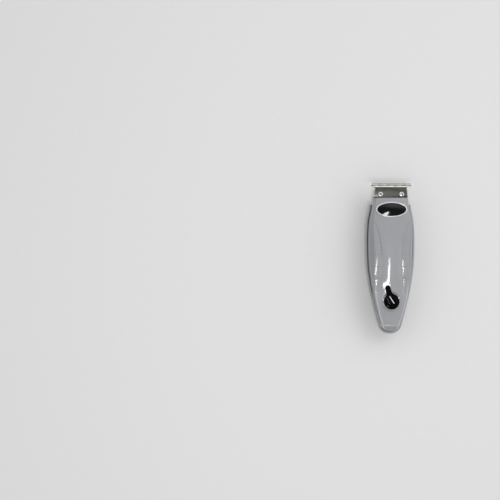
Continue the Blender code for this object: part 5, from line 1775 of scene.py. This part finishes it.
@dataclass
class Lever:
    """The on/off lever: a black disc that flares into a round-ended arm, with a white strip painted as a
    highlight and two grey strips.
    """

    top: float = 35.1
    arm_top: float = 35.5
    disc_low: float = 33.3
    clearance: float = 0.12
    hub: float = 2.1
    hub_low: float = 31.7
    hub_overlap: float = 0.3
    strip_sink: float = 0.3
    strip_rise: float = 0.03
    arm_angle: float = math.radians(38.0)
    arm_rise: Plan = (-2.5, 3.0)
    halvings: int = 40
    layers: Sequence[Point] = (
        (0.25, 0.05, 0.0), (0.25, 1.0, 0.0), (0.0, 1.0, 0.2), (0.0, 1.0, 0.7), (0.12, 1.0, 0.87),
        (0.35, 1.0, 0.96), (0.7, 1.0, 1.0), (0.7, 0.85, 1.0), (0.7, 0.6, 1.0), (0.7, 0.35, 1.0),
        (0.7, 0.05, 1.0),
    )
    rest_lean: float = math.radians(-16.0)
    fine: int = 120
    coarse: int = 130
    # a white strip painted where a highlight streak lies across the disc
    mark: tuple[Plan, Plan, float] = ((-2.4, -36.7), (2.3, -44.1), 0.34)
    # two grey strips on the disc, lighter than the black
    grey_strips: tuple[tuple[Plan, Plan, float], ...] = (
        ((-5.1, -37.8), (-2.1, -44.7), 0.13), ((-4.8, -46.2), (-2.9, -47.4), 0.13),
    )

    def radius(self, angle: float, inset: float) -> float:
        """Return how far the lever's plan reaches at an angle from its lean, moved in by an inset.

        Args:
            angle: The angle from the lean.
            inset: How far inside the plan.

        Returns:
            The reach from the pivot.
        """
        lean = self.rest_lean
        sine, cosine = math.sin(lean + angle), math.cos(lean + angle)
        low, high = 0.0, SEAT.reach + 1.0
        for _ in range(self.halvings):
            middle = (low + high) / 2.0
            place = (middle * sine, SEAT.centre_y + middle * cosine)
            inside = SEAT.distance(*place, lean, lean, SEAT.web) < -inset
            low, high = (middle, high) if inside else (low, middle)
        return low

    def height(self, reach: float, share: float) -> float:
        """Return the height at a reach from the pivot, at a share between the under side and the top.

        Args:
            reach: The distance from the pivot.
            share: From 0 at the under side to 1 at the top.

        Returns:
            The height.
        """
        y = SEAT.centre_y + reach
        low = max(self.disc_low, SEAT.floor(0.0, y, BODY.top(0.0, y)) + self.clearance)
        rise = ramp(reach, *(SEAT.disc + shift for shift in self.arm_rise))
        top = self.top + (self.arm_top - self.top) * rise
        return low + (top - low) * share

    def contour(self, inset: float, shrink: float, share: float) -> list[Point]:
        """Return one ring of the lever.

        Args:
            inset: How far the ring lies inside the lever's plan.
            shrink: What share of its reach the ring keeps.
            share: Its height, from 0 at the under side to 1 at the top.

        Returns:
            The ring's points.
        """
        wide = self.arm_angle
        angles = [-wide + 2.0 * wide * index / self.fine for index in range(self.fine)]
        rest = math.tau - 2.0 * wide
        angles += [wide + rest * index / self.coarse for index in range(self.coarse)]
        points = []
        for angle in angles:
            reach = self.radius(angle, inset) * shrink
            turn = self.rest_lean + angle
            height = self.height(reach, share)
            points.append((reach * math.sin(turn), SEAT.centre_y + reach * math.cos(turn), height))
        return points

    def build(self) -> None:
        """Make the lever with its hub, and the painted highlight strip and the grey strips on it."""
        body = Solid()
        body.loft([self.contour(*layer) for layer in self.layers])
        knob = body.mesh("lever_knob", SOFT_CREASE)
        hub = Solid()
        span = (self.hub_low, self.disc_low + self.hub_overlap)
        hub.cylinder(self.hub, span, (0.0, SEAT.centre_y, 0.0), WELL_FACETS)
        Workshop.dress(hub.mesh("lever_hub"), Finishes.LEVER, "switch_lever", "lever_black")
        Workshop.dress(knob, Finishes.LEVER, "switch_lever", "lever_black", ["switch_knob"])
        self.build_strip("lever_painted_highlight", self.mark, Finishes.HIGHLIGHT_STRIP)
        for number, strip_course in enumerate(self.grey_strips, 1):
            self.build_strip(f"lever_grey_strip_{number}", strip_course, Finishes.GREY_STRIP)

    def build_strip(self, name: str, course: tuple[Plan, Plan, float], finish: Any) -> None:
        """Make a thin strip with round ends on the disc.

        Args:
            name: The piece's name.
            course: Its start, its end and half its width.
            finish: Its finish.
        """
        start, end = Vector(course[0]), Vector(course[1])
        half = course[2]
        along = (end - start).normalized()
        across = Vector((-along.y, along.x))
        outline = []
        for centre, turn in ((end, 0.0), (start, math.pi)):
            for index in range(9):
                angle = turn + math.pi * (index / 8.0 - 0.5)
                spot = centre + half * (math.cos(angle) * along + math.sin(angle) * across)
                outline.append((spot.x, spot.y))
        strip = Solid()
        strip.prism(outline, self.top - self.strip_sink, self.top + self.strip_rise)
        Workshop.dress(strip.mesh(name), finish, "switch_lever", "nylon_white")


@dataclass
class TailJack:
    """The plated collar round the charging jack's opening."""

    centre_z: float = 13.3
    inner: float = 1.9
    outer: float = 2.55
    front_y: float = -74.2
    end_y: float = -75.0
    outer_edge: float = 0.2
    inner_edge: float = 0.15

    def build(self) -> None:
        """Make the collar."""
        inner, outer, end = self.inner, self.outer, self.end_y
        profile = (
            (inner, self.front_y), (outer, self.front_y), (outer, end + self.outer_edge),
            (outer - self.outer_edge, end), (inner + self.inner_edge, end), (inner, end + self.inner_edge),
            (inner, self.front_y),
        )
        collar = Solid()
        collar.turned(profile, (0.0, 0.0, self.centre_z), COLLAR_FACETS, Axis.ALONG_Y)
        Workshop.dress(collar.mesh("jack_collar"), Finishes.SCREW, "housing", "bright_steel")


@dataclass
class HousingScrews:
    """The four screws in the back that hold the shells together."""

    count: int = 4
    head: float = 4.4
    head_height: float = 1.6
    shank: float = 2.2

    def build(self) -> None:
        """Make each screw where its CAD node is."""
        for number in range(1, self.count + 1):
            node = f"housing_screw_{number}"
            low, high = (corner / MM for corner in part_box(node))
            place = ((low.x + high.x) / 2.0, (low.y + high.y) / 2.0)
            pattern = CrossScrew(self.head, self.head_height, self.shank, upright=False)
            screw = pattern.build(f"back_screw_{number}", place, low.z + self.head_height, high.z)
            Workshop.dress(screw, Finishes.STEEL, "housing", "motor_steel", [node])


@dataclass
class InnerParts:
    """The solids that are shown as they are, each with the finish of its material."""

    finishes: tuple[tuple[Any, tuple[str, ...]], ...] = (
        (Finishes.SCREW, (
            "cutter_spring", "spring_screw", "yoke_rivet_left", "yoke_rivet_right", "motor_shaft",
            "eccentric_roller", "battery_tab_positive", "battery_tab_negative", "board_screw_left",
            "board_screw_right", "charge_jack_pin",
        )),
        (Finishes.NYLON, ("cutter_yoke", "motor_end_cap", "switch_spindle", "switch_slider")),
        (Finishes.STEEL, ("motor_can", "switch_base")),
        (Finishes.BRASS, ("motor_front_bush", "motor_terminal_left", "motor_terminal_right", "eccentric")),
        (Finishes.MAGNET, ("motor_magnet_left", "motor_magnet_right")),
        (Finishes.RUBBER, ("motor_damper_front", "motor_damper_rear")),
        (Finishes.COPPER, ("motor_commutator", "motor_armature")),
        (Finishes.CELL, ("battery_cell",)),
        (Finishes.BOARD, ("circuit_board",)),
        (Finishes.LEVER, ("charge_jack",)),
        (Finishes.RED_LEAD, ("motor_lead_red",)),
        (Finishes.BLACK_LEAD, ("motor_lead_black",)),
    )

    def dress(self, nodes: dict[str, bpy.types.Object]) -> None:
        """Give each solid its finish.

        Args:
            nodes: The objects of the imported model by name.
        """
        for finish, names in self.finishes:
            for name in names:
                solid = nodes[name]
                for holder in solid.material_slots:
                    holder.material = Finishes.get(finish)
                if not solid.material_slots:
                    solid.data.materials.append(Finishes.get(finish))
                LOG.info("%s keeps its solid, as %s", name, finish.name)


@dataclass(frozen=True)
class Lamp:
    """One area lamp: where it stands and how wide it is in metres, and its power in watts."""

    name: str
    place: Point
    size: Plan
    power: float
    glossy: bool = True


@dataclass
class Studio:
    """The floor, the light and the camera."""

    floor_half: float = 20.0
    floor_z: float = -0.0001
    sky: float = 1.19
    horizon: float = 0.3
    sky_hole: float = 0.1
    horizon_edge: Plan = (0.3, 0.3)
    hole_edge: Plan = (0.865, 0.065)
    bias: Point = (0.15, 0.35, 0.0)
    camera_place: Point = (-0.13975, 0.0085, 1.273)
    lens: float = 90.4
    lamps: tuple[Lamp, ...] = (
        Lamp("key_lamp", (0.6, 0.6, 1.1), (0.8, 0.8), 3.0, glossy=False),
        Lamp("streak_lamp", (-0.051, -0.192, 1.06), (0.12, 0.26), 1.88),
    )

    def build_floor(self) -> None:
        """Lay the pale floor."""
        half, high = self.floor_half / MM, self.floor_z / MM
        sheet = Solid()
        plan = ((-half, -half), (half, -half), (half, half), (-half, half))
        sheet.cap(sheet.ring([(x, y, high) for x, y in plan]))
        floor = sheet.mesh("pale_floor")
        floor.data.materials.append(Finishes.get(Finishes.FLOOR))
        floor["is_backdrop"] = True

    def build_world(self) -> None:
        """Light the scene softly: dimmer near the horizon, with a dim patch overhead where the camera is."""
        world = bpy.data.worlds.new("soft_room")
        shader = Shader(world)
        way = shader.node("ShaderNodeTexCoord", output="Generated")
        high = shader.node("ShaderNodeSeparateXYZ", {}, {"Vector": way}, "Z")
        product = {"operation": "DOT_PRODUCT"}
        side = shader.node("ShaderNodeVectorMath", product, {0: way, 1: self.bias}, "Value")
        rise = self.horizon + (1.0 - self.horizon) * high.above(*self.horizon_edge)
        patch = 1.0 - (1.0 - self.sky_hole) * high.above(*self.hole_edge)
        strength = self.sky * rise * patch * (1.0 + side)
        sky = shader.node("ShaderNodeBackground", {}, {"Strength": strength})
        shader.node("ShaderNodeOutputWorld", {}, {"Surface": sky})
        bpy.context.scene.world = world

    def build_lamps(self) -> None:
        """Hang the lamps, each turned towards the trimmer."""
        for lamp in self.lamps:
            light = bpy.data.lights.new(lamp.name, "AREA")
            light.shape = "ELLIPSE"
            light.size, light.size_y = lamp.size
            light.energy = lamp.power
            holder = bpy.data.objects.new(lamp.name, light)
            holder.visible_glossy = lamp.glossy
            holder.location = lamp.place
            holder.rotation_euler = (-Vector(lamp.place)).to_track_quat("-Z", "Y").to_euler()
            bpy.context.scene.collection.objects.link(holder)

    def build_camera(self) -> None:
        """Set the camera above the trimmer."""
        camera = bpy.data.cameras.new("photo_camera")
        camera.lens = self.lens
        camera.clip_start = 0.05
        holder = bpy.data.objects.new("photo_camera", camera)
        holder.location = self.camera_place
        bpy.context.scene.collection.objects.link(holder)
        bpy.context.scene.camera = holder

    def build(self) -> None:
        """Make the whole studio."""
        self.build_floor()
        self.build_world()
        self.build_lamps()
        self.build_camera()
        bpy.context.scene.view_settings.view_transform = "Standard"


def corners() -> list[list[float]]:
    """Return the lowest and the highest corner of the object as plain lists."""
    return [[float(value) for value in corner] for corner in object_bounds()]


def main() -> None:
    """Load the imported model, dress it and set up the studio."""
    logging.basicConfig(level=logging.INFO, format="%(message)s")
    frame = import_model()
    for part in (FrontShell(), RearShell(), BADGE, BladeSet(), Lever(), TailJack(), HousingScrews()):
        LOG.info("building %s", type(part).__name__)
        part.build()
    InnerParts().dress(frame["nodes"])
    Studio().build()


if __name__ == "__main__":
    main()
